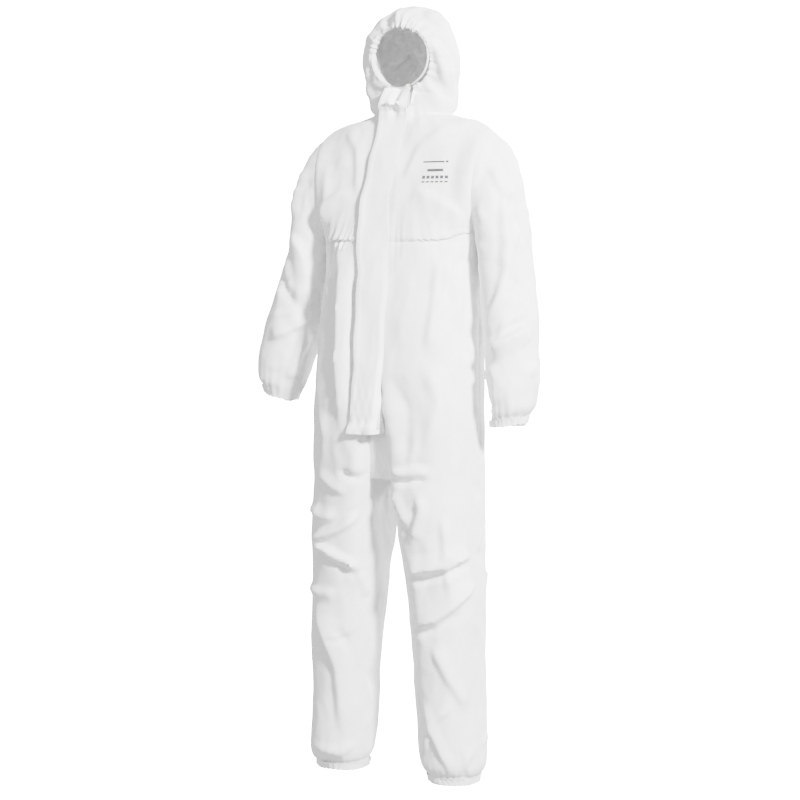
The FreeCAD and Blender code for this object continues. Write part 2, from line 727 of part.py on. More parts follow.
def make_elastics():
    for name, side in (("left", 1.0), ("right", -1.0)):
        cuff = station("cuff", name, CUFF_FIELDS)
        tilt = math.radians(cuff["tilt"])
        outward = V(side * math.sin(tilt), 0, -math.cos(tilt))
        elastic_ring(f"{name}_wrist_elastic",
                     "sizes.wrist_outer_radius - sizes.cloth_wall - sizes.elastic_gap",
                     "sizes.wrist_inner_radius", V(side * cuff["x"], cuff["y"], cuff["z"]), outward)
        foot = V(side * size("ankle_x"), size("foot_y"), 0)
        elastic_ring(f"{name}_ankle_elastic",
                     "sizes.ankle_outer_radius - sizes.cloth_wall - sizes.elastic_gap",
                     "sizes.ankle_inner_radius", foot, V(0, 0, -1))


def oval_prism(half_width, half_height, length):
    """A prism along +Y with an elliptical section, starting at y = 0."""
    edge = Part.Ellipse(V(0, 0, 0), half_width, half_height).toShape()
    prism = Part.Face(Part.Wire(edge)).extrude(V(0, 0, -length))
    prism.rotate(V(0, 0, 0), V(1, 0, 0), 90.0)
    return prism


def make_face_elastic():
    outer = size("face_half_width") - size("elastic_gap")
    height = size("face_half_height") - size("elastic_gap")
    thickness = size("face_elastic_thickness")
    length = size("elastic_width")
    ring = oval_prism(outer, height, length).cut(oval_prism(outer - thickness, height - thickness, length))
    ring.translate(V(0, size("chin_y") - 0.25 * length, size("face_centre_z")))
    add_cloth("face_elastic", ring)


def make_waist_elastic():
    """The elastic across the small of the back, in its own plane tunnel above the waist seam."""
    s = station("trunk", "armpit", TRUNK_FIELDS)
    faces = []
    inset = size("waist_elastic_inset")
    for extra in (inset, inset + size("waist_elastic_thickness")):
        wire = level_oval(s["height"], -s["half_width"], s["half_width"], -s["flat"], s["flat"],
                          front_y(s["height"]), s["widest"], s["back"], extra)
        wire.translate(V(0, 0, size("waist_elastic_z") - wire.BoundBox.ZMin))
        faces.append(Part.Face(wire).extrude(V(0, 0, size("waist_elastic_width"))))
    add_cloth("waist_elastic", one_solid(faces[0].cut(faces[1]).common(behind(size("bodice_side_seam_y")))))


def make_neck_label():
    label = bound_box("neck_label", "-sizes.label_width / 2",
                      "sizes.trunk_neck_back - sizes.label_inset", "sizes.label_top_z - sizes.label_height",
                      "sizes.label_width", "sizes.label_thickness", "sizes.label_height")
    label.Label = "neck_label"


# ---------------------------------------------------------------- build, check, write

DERIVED = {
    "leg_inner_edge": "=gusset_half_width + leg_inner_gap",
    "ankle_x": "=(leg_ankle_inside + leg_ankle_outside) / 2",
    "tape_bottom_z": "=zip_bottom_z - tape_end_allowance",
    "tape_top_z": "=zip_top_z + tape_end_allowance",
    "slider_rest_gap": "0.5",
    "slider_front_y": "=chain_back_depth - chain_thickness - slider_clearance - slider_wall",
    "flange_depth": "=tape_depth - slider_clearance - slider_front_y",
    "hinge_y": "=slider_front_y - lug_height / 2",
    "hinge_z": "=-1 - lug_length / 2",
    "stop_front_y": "=chain_back_depth - chain_thickness - stop_proud",
}


def add_derived():
    """Sizes worked out from the driving ones, as formulas in the sheet."""
    for index, (alias, formula) in enumerate(DERIVED.items(), start=1):
        sheet.set(f"D{index}", alias)
        sheet.set(f"E{index}", formula)
        sheet.setAlias(f"E{index}", alias)
    doc.recompute()


add_derived()
make_trunk()
make_gusset()
make_legs()
make_sleeves()
make_hood()
make_zip()
make_storm_flap()
make_slider()
make_pull()
make_stops()
make_elastics()
make_face_elastic()
make_waist_elastic()
make_neck_label()
doc.recompute()

NODES = [piece for piece in doc.Objects
         if piece.TypeId in ("Part::Feature", "PartDesign::Body", "Part::Cut", "Part::Compound")
         or piece.Label in ("zip_pull", "neck_label")]

for piece in doc.Objects:
    if "Invalid" in piece.State or "Error" in piece.State:
        raise RuntimeError(f"{piece.Label} did not compute: {piece.State}")
for piece in NODES:
    if piece.Shape.isNull() or not piece.Shape.isValid():
        raise RuntimeError(f"{piece.Label} has no valid shape")

os.makedirs("parts", exist_ok=True)
for piece in NODES:
    piece.Shape.exportStep(f"parts/{piece.Label}.step")
    box = piece.Shape.BoundBox
    print(f"{piece.Label}: {len(piece.Shape.Solids)} solid, {piece.Shape.Volume:.0f} mm3, "
          f"{box.XLength:.1f} x {box.YLength:.1f} x {box.ZLength:.1f} mm")
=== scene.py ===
import json
import math

import bmesh
import bpy
import numpy as np
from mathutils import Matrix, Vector, noise
from mathutils.bvhtree import BVHTree


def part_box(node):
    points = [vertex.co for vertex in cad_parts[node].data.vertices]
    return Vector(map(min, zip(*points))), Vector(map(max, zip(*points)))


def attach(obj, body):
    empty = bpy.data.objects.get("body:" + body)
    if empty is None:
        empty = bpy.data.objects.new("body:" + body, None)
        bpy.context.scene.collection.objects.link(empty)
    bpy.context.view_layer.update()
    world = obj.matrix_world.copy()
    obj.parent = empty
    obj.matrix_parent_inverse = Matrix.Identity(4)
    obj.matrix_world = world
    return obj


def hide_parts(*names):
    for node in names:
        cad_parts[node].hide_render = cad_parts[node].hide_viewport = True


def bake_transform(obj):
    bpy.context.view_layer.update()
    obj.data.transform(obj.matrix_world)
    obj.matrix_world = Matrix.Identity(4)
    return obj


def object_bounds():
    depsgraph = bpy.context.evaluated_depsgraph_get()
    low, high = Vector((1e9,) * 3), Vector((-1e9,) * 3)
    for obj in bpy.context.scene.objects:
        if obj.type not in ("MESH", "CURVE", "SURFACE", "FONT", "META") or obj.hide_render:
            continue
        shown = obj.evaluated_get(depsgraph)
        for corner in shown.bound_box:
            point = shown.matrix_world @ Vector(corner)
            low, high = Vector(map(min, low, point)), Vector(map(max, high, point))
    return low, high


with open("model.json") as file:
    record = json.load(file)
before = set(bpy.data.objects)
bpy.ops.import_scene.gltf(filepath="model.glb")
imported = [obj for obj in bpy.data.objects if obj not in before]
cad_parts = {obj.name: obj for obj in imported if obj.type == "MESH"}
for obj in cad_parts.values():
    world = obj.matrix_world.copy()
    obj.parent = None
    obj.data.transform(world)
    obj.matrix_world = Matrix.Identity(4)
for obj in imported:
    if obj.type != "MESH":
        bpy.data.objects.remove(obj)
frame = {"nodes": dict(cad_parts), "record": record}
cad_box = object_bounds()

# The looks of a hooded disposable coverall, in metres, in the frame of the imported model:
# +Z up, the zip side faces -Y and the wearer's left is +X.

# ---------------------------------------------------------------- sizes of the cloth and its folds

REACH = 0.6                       # how far outside the suit a measuring ray starts
GRID_STEP = 0.006                 # spacing of the cloth meshes
CLOTH_PLY = 0.0005
FOLD_GAIN = 1.45                  # how much deeper the drawn folds are than their listed height
FOLD_LIMIT = 0.018
FLAP_PLY = 0.0012
SIDE_COLUMNS = int(0.26 / GRID_STEP)      # from the front or back corner of the body to its side
FRONT_CORNER_Y, BACK_CORNER_Y = -0.10, 0.09
FLOOR_GAP = 0.0006
HEM_Z = 0.020                     # height of the seam over the ankle elastic
CRUMPLE_HEIGHT, CRUMPLE_WIDTH, CRUMPLE_LENGTH = 0.0065, 0.015, 0.14
LARGE_RIDGES, SMALL_RIDGES, SWELL = (0.0048, 0.105), (0.0021, 0.040), (0.0030, 0.14)  # height, size

# ---------------------------------------------------------------- places taken from the frame

WAIST_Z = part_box("left_front_bodice")[0].z
NECK_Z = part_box("back_bodice")[1].z
CROTCH_LOW, CROTCH_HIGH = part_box("crotch_gusset")
LEG_INNER_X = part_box("left_leg_front")[0].x
ZIP_BOTTOM_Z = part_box("left_zip_coil")[0].z
SLOT_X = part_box("left_front_bodice")[0].x
JOINTS = {joint["name"]: joint for joint in frame["record"]["behaviour"]["joints"]}
HOOD_HINGE = Vector(JOINTS["hood_tilt"]["pos_m"])
HIP_AXIS = Vector(JOINTS["left_leg_swing"]["pos_m"])
HOOD_SEAM_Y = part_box("hood_front")[1].y

# Places that no box or joint gives: chin, armhole and face opening, as in the CAD model.
CHIN_Y = -0.020
CHIN_Z = 1.553
ARMPIT = Vector((0.1885, 0.0, 1.200))
SHOULDER = Vector((0.212, 0.0, 1.457))
ARMHOLE_NORMAL = Vector((SHOULDER.z - ARMPIT.z, 0, ARMPIT.x - SHOULDER.x)).normalized()
FACE_CENTRE = Vector((0, 0.055, 1.624))
FACE_HALF = (0.073, 0.068)
NECK_NORMAL = Vector((0, CHIN_Z - HOOD_HINGE.z, HOOD_HINGE.y - CHIN_Y)).normalized()

TROUSER_NODES = ("left_front_trouser", "left_seat", "left_leg_front", "left_leg_back")
BODICE_NODES = ("left_front_bodice", "back_bodice")
HEAD_NODES = ("hood_front", "hood_back", "left_chin_panel", "right_chin_panel")


def cad_tree(*nodes):
    """A ray-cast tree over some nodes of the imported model."""
    points, faces = [], []
    for node in nodes:
        mesh = frame["nodes"][node].data
        base = len(points)
        points += [vertex.co.copy() for vertex in mesh.vertices]
        faces += [[base + index for index in face.vertices] for face in mesh.polygons]
    return BVHTree.FromPolygons(points, faces, epsilon=0.0004)


def mesh_tree(thing):
    return BVHTree.FromPolygons([vertex.co.copy() for vertex in thing.data.vertices],
                                [list(face.vertices) for face in thing.data.polygons])


def smooth_step(low, high, value):
    t = np.clip((np.asarray(value, float) - low) / (high - low), 0.0, 1.0)
    return t * t * (3.0 - 2.0 * t)


def cast_grid(tree, centres, directions, reach=REACH):
    """Distance from each centre to the outermost surface along each direction; misses are NaN."""
    rows, columns = directions.shape[:2]
    distance = np.full((rows, columns), np.nan)
    for i in range(rows):
        for j in range(columns):
            centre = Vector(centres[i, j])
            direction = Vector(directions[i, j])
            hit = tree.ray_cast(centre + direction * reach, -direction, reach)
            if hit[0] is not None:
                distance[i, j] = reach - hit[3]
    return distance


def clean_grid(distance, ring=False, passes=3):
    """Fill missed rays along the columns, drop rays that slipped inside, and soften facets."""
    rows = np.arange(distance.shape[0])
    for j in range(distance.shape[1]):
        known = ~np.isnan(distance[:, j])
        if known.any():
            distance[:, j] = np.interp(rows, rows[known], distance[known, j])
    columns = np.arange(distance.shape[1])
    empty = np.isnan(distance).all(axis=0)
    if empty.any():
        for i in rows:
            distance[i, empty] = np.interp(columns[empty], columns[~empty], distance[i, ~empty])
    sides = "wrap" if ring else "edge"
    if ring:
        distance = distance[:, :-1]
    for _ in range(2):
        padded = np.pad(np.pad(distance, ((2, 2), (0, 0)), mode="edge"), ((0, 0), (2, 2)), mode=sides)
        stack = [padded[i:i + distance.shape[0], j:j + distance.shape[1]]
                 for i in range(5) for j in range(5)]
        distance = np.median(np.array(stack), axis=0)
    for _ in range(passes):
        padded = np.pad(distance, ((1, 1), (0, 0)), mode="edge")
        distance = 0.25 * padded[:-2] + 0.5 * padded[1:-1] + 0.25 * padded[2:]
        padded = np.pad(distance, ((0, 0), (1, 1)), mode=sides)
        distance = 0.25 * padded[:, :-2] + 0.5 * padded[:, 1:-1] + 0.25 * padded[:, 2:]
    if ring:
        distance = np.concatenate([distance, distance[:, :1]], axis=1)
    return distance


# ---------------------------------------------------------------- meshes from grids of points

class Cloth:
    """Grid patches of one garment part, merged where they meet; each patch names its panel."""

    def __init__(self):
        self.mesh = bmesh.new()
        self.panel = self.mesh.faces.layers.int.new("panel")
        self.uv = self.mesh.loops.layers.uv.new("cloth")
        self.panels = []

    def patch(self, panel, points, flip=False, hole=None):
        """Add a grid of points, less the cells in a hole; UVs are distances along the cloth."""
        if panel not in self.panels:
            self.panels.append(panel)
        number = self.panels.index(panel)
        rows, columns = points.shape[:2]
        step_u = np.linalg.norm(np.diff(points, axis=1), axis=2).mean(axis=0)
        step_v = np.linalg.norm(np.diff(points, axis=0), axis=2).mean(axis=1)
        u = np.concatenate([[0.0], np.cumsum(step_u)]) + 0.7 * number
        v = np.concatenate([[0.0], np.cumsum(step_v)])
        corners = [[self.mesh.verts.new(points[i, j]) for j in range(columns)] for i in range(rows)]
        for i in range(rows - 1):
            for j in range(columns - 1):
                if hole is not None and hole[i, j]:
                    continue
                ring = [(i, j), (i, j + 1), (i + 1, j + 1), (i + 1, j)]
                if flip:
                    ring.reverse()
                face = self.mesh.faces.new([corners[a][b] for a, b in ring])
                face[self.panel] = number
                face.smooth = True
                for loop, (a, b) in zip(face.loops, ring):
                    loop[self.uv].uv = (u[b], v[a])

    def finish(self, name):
        """The whole part as one object, its patches joined, ready to be shaped."""
        loose = [vertex for vertex in self.mesh.verts if not vertex.link_faces]
        bmesh.ops.delete(self.mesh, geom=loose, context="VERTS")
        bmesh.ops.remove_doubles(self.mesh, verts=self.mesh.verts, dist=0.0004)
        bmesh.ops.dissolve_degenerate(self.mesh, dist=1e-5, edges=self.mesh.edges)
        mesh = bpy.data.meshes.new(name)
        self.mesh.to_mesh(mesh)
        self.mesh.free()
        return add_object(name, mesh)


def add_object(name, mesh, material=None):
    thing = bpy.data.objects.new(name, mesh)
    bpy.context.collection.objects.link(thing)
    if material is not None:
        mesh.materials.append(material)
    return thing


def vertex_places(thing):
    places = np.empty(len(thing.data.vertices) * 3)
    thing.data.vertices.foreach_get("co", places)
    return places.reshape(-1, 3)


def vertex_normals(thing):
    normals = np.empty(len(thing.data.vertices) * 3)
    thing.data.vertex_normals.foreach_get("vector", normals)
    return normals.reshape(-1, 3)


def set_places(thing, places):
    thing.data.vertices.foreach_set("co", places.ravel())
    thing.data.update()


def apply_modifiers(thing):
    graph = bpy.context.evaluated_depsgraph_get()
    mesh = bpy.data.meshes.new_from_object(thing.evaluated_get(graph))
    thing.modifiers.clear()
    thing.data = mesh


def thicken(thing, thickness):
    solidify = thing.modifiers.new("ply", "SOLIDIFY")
    solidify.thickness = thickness
    solidify.offset = -1.0
    apply_modifiers(thing)
    thing.data.set_sharp_from_angle(angle=math.radians(60))


def edit_mesh(thing, change):
    work = bmesh.new()
    work.from_mesh(thing.data)
    change(work)
    work.to_mesh(thing.data)
    work.free()


def cross_plane(thing, point, normal, remove=False):
    """Put a line of edges where the plane crosses; what is beyond it may be removed."""
    def change(work):
        parts = work.verts[:] + work.edges[:] + work.faces[:]
        bmesh.ops.bisect_plane(work, geom=parts, dist=1e-5, plane_co=point, plane_no=normal,
                               clear_outer=remove)
    edit_mesh(thing, change)


def remove_faces(thing, rule):
    def change(work):
        gone = [face for face in work.faces if rule(face.calc_center_median())]
        bmesh.ops.delete(work, geom=gone, context="FACES")
    edit_mesh(thing, change)


def name_panels(thing, rule):
    """Give each face the panel number that the rule returns for its centre."""
    def change(work):
        layer = work.faces.layers.int["panel"]
        for face in work.faces:
            face[layer] = rule(face.calc_center_median())
    edit_mesh(thing, change)


def take_panel(whole, number, name, material):
    """A copy of one panel of a shaped part as an object of its own."""
    work = bmesh.new()
    work.from_mesh(whole.data)
    layer = work.faces.layers.int["panel"]
    others = [face for face in work.faces if face[layer] != number]
    bmesh.ops.delete(work, geom=others, context="FACES")
    mesh = bpy.data.meshes.new(name)
    work.to_mesh(mesh)
    work.free()
    return add_object(name, mesh, material)


# ---------------------------------------------------------------- folds

def on_surface(places, normals, path, step=0.012):
    """A path drawn in space, moved onto the cloth below it, with the cloth's normals."""
    path = np.asarray(path, float)
    lengths = np.concatenate([[0.0], np.cumsum(np.linalg.norm(np.diff(path, axis=0), axis=1))])
    count = max(3, int(lengths[-1] / step))
    share = np.linspace(0.0, lengths[-1], count)
    points = np.stack([np.interp(share, lengths, path[:, k]) for k in range(3)], axis=1)
    found = np.empty_like(points)
    for i, point in enumerate(points):
        nearest = np.argmin(((places - point) ** 2).sum(axis=1))
        normal = normals[nearest]
        found[i] = normal
        points[i] = point + normal * np.dot(places[nearest] - point, normal)
    return points, found


def crease(places, normals, path, height, width, lean=0.0, fade=0.25):
    """Height of a crease along a path; lean makes the flank on one side wider than the other."""
    points, facing_to = on_surface(places, normals, path)
    middle, half = points.mean(axis=0), np.ptp(points, axis=0).max() + 2.0 * width
    near = np.flatnonzero(((places - middle) ** 2).sum(axis=1) < half ** 2)
    result = np.zeros(len(places))
    if len(near) == 0:
        return result
    local, local_normals = places[near], normals[near]
    best = np.full(len(near), np.inf)
    value = np.zeros(len(near))
    steps = np.linalg.norm(np.diff(points, axis=0), axis=1)
    total, start = steps.sum(), 0.0
    for a, b, length, facing in zip(points[:-1], points[1:], steps, facing_to):
        along = (b - a) / max(length, 1e-6)
        offset = local - a
        t = np.clip(offset @ along, 0.0, length)
        gap = offset - t[:, None] * along
        distance = np.linalg.norm(gap, axis=1)
        side = np.sign(gap @ np.cross(facing, along))
        reach = width * (1.0 + lean * side)
        tent = np.clip(1.0 - distance / reach, 0.0, 1.0)
        position = (start + t) / total
        taper = smooth_step(0.0, fade, position) * smooth_step(0.0, fade, 1.0 - position)
        facing_cloth = np.clip(local_normals @ facing * 2.5 - 0.3, 0.0, 1.0)
        nearer = distance < best
        value[nearer] = (height * tent * taper * facing_cloth)[nearer]
        best = np.minimum(best, distance)
        start += length
    result[near] = value
    return result


def crumple(places, normals, random, count, direction, spread=0.8):
    """Random creases, as stiff nonwoven cloth keeps from its packing and its wearer."""
    result = np.zeros(len(places))
    for _ in range(count):
        index = random.integers(len(places))
        centre, normal = places[index], normals[index]
        wander = random.normal(size=3) * spread + np.asarray(direction, float)
        along = wander - normal * np.dot(wander, normal)
        along /= np.linalg.norm(along) + 1e-9
        half = CRUMPLE_LENGTH * random.uniform(0.35, 1.0) / 2.0
        bend = np.cross(along, normal) * half * random.uniform(-0.3, 0.3)
        sign = 1.0 if random.random() < 0.6 else -1.0
        path = [centre - along * half, centre + bend, centre + along * half]
        result += crease(places, normals, path, sign * CRUMPLE_HEIGHT * random.uniform(0.4, 1.0),
                         CRUMPLE_WIDTH * random.uniform(0.6, 1.4), random.uniform(-0.6, 0.6), 0.45)
    return result


def ridge_noise(places, seed, scale, stretch=(1.0, 1.0, 1.0)):
    """Sharp curved ridges with flatter cloth between them, about -0.5 to 0.5."""
    shift = Vector((seed * 3.7, seed * 1.3, seed * 2.1))
    scaled = places * (np.array(stretch) / scale)
    return np.array([0.5 - 2.0 * abs(noise.noise(Vector(place) + shift)) for place in scaled])


def soft_noise(places, seed, scale):
    shift = Vector((seed * 1.9, seed * 2.3, seed * 4.1))
    return np.array([noise.noise(Vector(place) + shift) for place in places / scale])


def within_size(places):
    """Flatten what would stand too far in front of the suit or reach below the floor."""
    front = cad_box[0].y - 0.002
    places[:, 1] = np.where(places[:, 1] < front, front + 0.35 * (places[:, 1] - front), places[:, 1])
    places[:, 2] = np.maximum(places[:, 2], 0.0004)
    return places


def shape(thing, creases, random, free, crumples, extra, stretch=(1.0, 1.0, 0.45),
          direction=(0, 0, 1)):
    """Fold a whole part: designed creases, random ones, the fine crinkle and what extra gives.

    free gives 0 where the cloth meets another part and must stay in place, and 1 away from it."""
    places, normals = vertex_places(thing), vertex_normals(thing)
    height = np.zeros(len(places))
    for path, tall, width, lean in creases:
        height += crease(places, normals, path, FOLD_GAIN * tall, width, lean)
    height += crumple(places, normals, random, crumples, direction)
    seed = random.integers(100)
    height += LARGE_RIDGES[0] * ridge_noise(places, seed, LARGE_RIDGES[1], stretch)
    height += SMALL_RIDGES[0] * ridge_noise(places, seed + 7, SMALL_RIDGES[1], stretch)
    height += SWELL[0] * soft_noise(places, seed + 3, SWELL[1])
    height += extra(places)
    height = np.clip(height, -FOLD_LIMIT, FOLD_LIMIT)
    set_places(thing, within_size(places + normals * (height * free(places))[:, None]))


# ---------------------------------------------------------------- trousers and bodice

OUTLINE_SAMPLES = 500


def row_heights(tree, low, high):
    """Heights spaced evenly along the side of the body, closer together where it turns inwards."""
    fine = np.linspace(low, high, OUTLINE_SAMPLES)
    outline = np.full(len(fine), np.nan)
    for i, z in enumerate(fine):
        hit = tree.ray_cast(Vector((REACH, 0.03, z)), Vector((-1, 0, 0)), REACH)
        if hit[0] is not None:
            outline[i] = hit[0].x
    known = ~np.isnan(outline)
    outline = np.interp(fine, fine[known], outline[known])
    along = np.concatenate([[0.0], np.cumsum(np.hypot(np.diff(fine), np.diff(outline)))])
    count = int(along[-1] / GRID_STEP) + 1
    return np.interp(np.linspace(0.0, along[-1], count), along, fine)


def slot_half_width(z):
    """Half width of the gap for the zip, closed below its bottom stop."""
    return SLOT_X * smooth_step(ZIP_BOTTOM_Z - 0.012, ZIP_BOTTOM_Z + 0.030, z)


def fork_z(y):
    """Height of the U-shaped edge between a leg and the gusset, at depth y."""
    middle, half = 0.5 * (CROTCH_LOW.y + CROTCH_HIGH.y), 0.5 * (CROTCH_HIGH.y - CROTCH_LOW.y)
    side = np.abs(np.clip((np.asarray(y, float) - middle) / half, -1.0, 1.0))
    return CROTCH_HIGH.z - (CROTCH_HIGH.z - CROTCH_LOW.z) * (1.0 - side ** 3.2) ** (1.0 / 3.2)


def body_middle_y(z):
    """Depth of the line that the body's measuring rays point at."""
    return -0.010 + 0.062 * smooth_step(0.9, 1.40, z)


def leg_middle_x(z):
    """From the trunk's middle at the waist to the middle of the leg."""
    leg = np.interp(z, [0.0, 0.03, 0.24, 0.43, 0.62], [0.1445, 0.1445, 0.134, 0.125, 0.115])
    return leg * smooth_step(1.15, 0.78, z)


def arc_grid(tree, heights, middle_x, middle_y, angles):
    """Points on the CAD surface at each height; angles are measured round from the front."""
    directions = np.stack([np.sin(angles), -np.cos(angles), np.zeros_like(angles)], axis=2)
    centres = np.zeros_like(directions)
    centres[:, :, 0] = middle_x[:, None]
    centres[:, :, 1] = middle_y[:, None]
    centres[:, :, 2] = heights[:, None]
    distance = cast_grid(tree, centres, directions)
    missed = np.isnan(distance)
    return centres + directions * clean_grid(distance)[:, :, None], missed


def angle_to(x, y, middle_x, middle_y):
    return np.arctan2(x - middle_x, middle_y - y) % (2.0 * math.pi)


def fan(starts, ends, count):
    share = np.linspace(0.0, 1.0, count)
    return starts[:, None] * (1.0 - share) + ends[:, None] * share


def two_fans(start, side, back):
    """Angles from the front corner to the side, and on from the side to the back corner."""
    return np.concatenate([fan(start, side, SIDE_COLUMNS), fan(side, back, SIDE_COLUMNS)[:, 1:]],
                          axis=1)


def centre_strip(edge, inner_x, count=5):
    """The strip between a panel's corner column and the centre line, nearly flat across."""
    share = np.linspace(0.0, 1.0, count)[None, :]
    points = np.repeat(edge[:, None, :], count, axis=1)
    points[:, :, 0] = inner_x[:, None] * (1.0 - share) + edge[:, None, 0] * share
    return points


def mirrored(points, mirror):
    result = points.copy()
    result[:, :, 0] *= mirror
    return result


def turned_under(grid, middle, depth=0.018, ply=0.0022):
    """Rows of cloth turned back inside a hem, towards its middle; the first row is deepest."""
    middle = np.array(middle)
    edge, above = grid[0], grid[4]
    inwards = middle - edge
    climb = above - edge
    climb /= np.linalg.norm(climb, axis=1)[:, None]
    inwards -= climb * (inwards * climb).sum(axis=1)[:, None]
    inwards /= np.linalg.norm(inwards, axis=1)[:, None]
    return np.stack([edge + inwards * ply + climb * depth, edge + inwards * ply + climb * 0.5 * depth,
                     edge + inwards * 0.7 * ply + climb * 0.002])


FORK_FROM_Z = 0.50                # above this the rows inside the leg bend down to the gusset
INSIDE_COLUMNS = 2 * int(0.10 / GRID_STEP) + 1


def build_trousers(cloth):
    """Both halves of the trousers with their legs, from the waist seam to the ankle hems."""
    tree = cad_tree(*TROUSER_NODES)
    upper = row_heights(tree, CROTCH_HIGH.z, WAIST_Z)
    lower = row_heights(tree, 0.0, CROTCH_HIGH.z)
    heights = np.concatenate([lower, upper[1:]])
    fork = len(lower)
    middle_x, middle_y = leg_middle_x(heights), body_middle_y(heights)
    corner_x = np.maximum(LEG_INNER_X, np.interp(
        heights, [0.0, 0.09, 0.24, 0.43, 0.62, CROTCH_HIGH.z],
        [0.105, 0.100, 0.085, 0.062, 0.036, LEG_INNER_X]))
    start = angle_to(corner_x, FRONT_CORNER_Y, middle_x, middle_y)
    start = np.where(start > math.pi, start - 2.0 * math.pi, start)
    side = np.full(len(heights), 0.5 * math.pi)
    back = angle_to(corner_x, BACK_CORNER_Y, middle_x, middle_y)
    outside, _ = arc_grid(tree, heights, middle_x, middle_y, two_fans(start, side, back))
    inside, _ = arc_grid(tree, heights[:fork], middle_x[:fork], middle_y[:fork],
                         fan(back[:fork], start[:fork] + 2.0 * math.pi, INSIDE_COLUMNS))
    inside[:, 0], inside[:, -1] = outside[:fork, -1], outside[:fork, 0]
    for j in range(1, INSIDE_COLUMNS - 1):
        z = inside[:, j, 2]
        moving = z > FORK_FROM_Z
        share = (z[moving] - FORK_FROM_Z) / (CROTCH_HIGH.z - FORK_FROM_Z)
        inside[moving, j, 2] = FORK_FROM_Z + share * (float(fork_z(inside[-1, j, 1])) - FORK_FROM_Z)
        inside[moving, j, 0] = np.maximum(inside[moving, j, 0], LEG_INNER_X)
    top = slice(fork - 1, None)
    centre_front = centre_strip(outside[top, 0], slot_half_width(heights[top]))
    centre_back = centre_strip(outside[top, -1], np.zeros(len(heights) - fork + 1))
    for grid in (outside, inside):
        grid[0, :, 2] = FLOOR_GAP
    outside, inside = (np.concatenate([turned_under(grid, (middle_x[0], -0.020, 0.0)), grid])
                       for grid in (outside, inside))
    half = INSIDE_COLUMNS // 2
    for side_name, mirror in (("left", 1.0), ("right", -1.0)):
        front, rear = f"{side_name}_trouser_front", f"{side_name}_trouser_back"
        flip = mirror < 0
        cloth.patch(front, mirrored(outside[:, :SIDE_COLUMNS], mirror), flip)
        cloth.patch(front, mirrored(inside[:, half:], mirror), flip)
        cloth.patch(front, mirrored(centre_front, mirror), flip)
        cloth.patch(rear, mirrored(outside[:, SIDE_COLUMNS - 1:], mirror), flip)
        cloth.patch(rear, mirrored(inside[:, :half + 1], mirror), flip)
        cloth.patch(rear, mirrored(centre_back[:, ::-1], mirror), flip)
    edge = inside[-1]
    across = np.linspace(-1.0, 1.0, 9)
    gusset = np.repeat(edge[:, None, :], 9, axis=1)
    gusset[:, :, 0] = edge[:, None, 0] * across[None, :]
    cloth.patch("crotch_gusset", gusset)
    return outside[-1]


def build_bodice(cloth, waist_row):
    """The bodice from the waist seam, whose row is the trousers' own, up to the neck."""
    tree = cad_tree(*BODICE_NODES)
    heights = row_heights(tree, WAIST_Z, NECK_Z)
    zeros = np.zeros(len(heights))
    middle_y = body_middle_y(heights)
    corner = np.full(len(heights), LEG_INNER_X)
    start = angle_to(corner, FRONT_CORNER_Y, zeros, middle_y)
    side_y = 0.030 * smooth_step(WAIST_Z, 1.28, heights) - 0.010
    side = angle_to(0.2, side_y, zeros, middle_y)
    side[0] = 0.5 * math.pi
    back = angle_to(corner, BACK_CORNER_Y, zeros, middle_y)
    angles = two_fans(start, side, back)
    points, missed = arc_grid(tree, heights, zeros, middle_y, angles)
    near_waist = smooth_step(WAIST_Z + 0.03, WAIST_Z, heights)[:, None, None]
    points = points + (waist_row - points[0])[None] * near_waist
    hole = missed[:-1, :-1] | missed[1:, :-1] | missed[:-1, 1:] | missed[1:, 1:]
    hole &= (heights[:-1, None] > ARMPIT.z) & (heights[:-1, None] < SHOULDER.z + 0.01)
    hole &= np.abs(angles[:-1, :-1] - side[:-1, None]) < 1.1
    centre_front = centre_strip(points[:, 0], slot_half_width(heights))
    centre_back = centre_strip(points[:, -1], zeros)
    for side_name, mirror in (("left", 1.0), ("right", -1.0)):
        flip = mirror < 0
        front = f"{side_name}_bodice_front"
        cloth.patch(front, mirrored(points[:, :SIDE_COLUMNS], mirror), flip,
                    hole[:, :SIDE_COLUMNS - 1])
        cloth.patch(front, mirrored(centre_front, mirror), flip)
        cloth.patch("bodice_back", mirrored(points[:, SIDE_COLUMNS - 1:], mirror), flip,
                    hole[:, SIDE_COLUMNS - 1:])
        cloth.patch("bodice_back", mirrored(centre_back[:, ::-1], mirror), flip)


# ---------------------------------------------------------------- the hood

HEAD_RADIUS, HEAD_LENGTH = 0.115, 0.30    # size of the hood, which sets the number of grid cells
RIM_SPREAD = 1.06                 # the cloth's rim against the face opening's half sizes
HEM_SHARE = 0.955                 # the turned-in hem against the rim


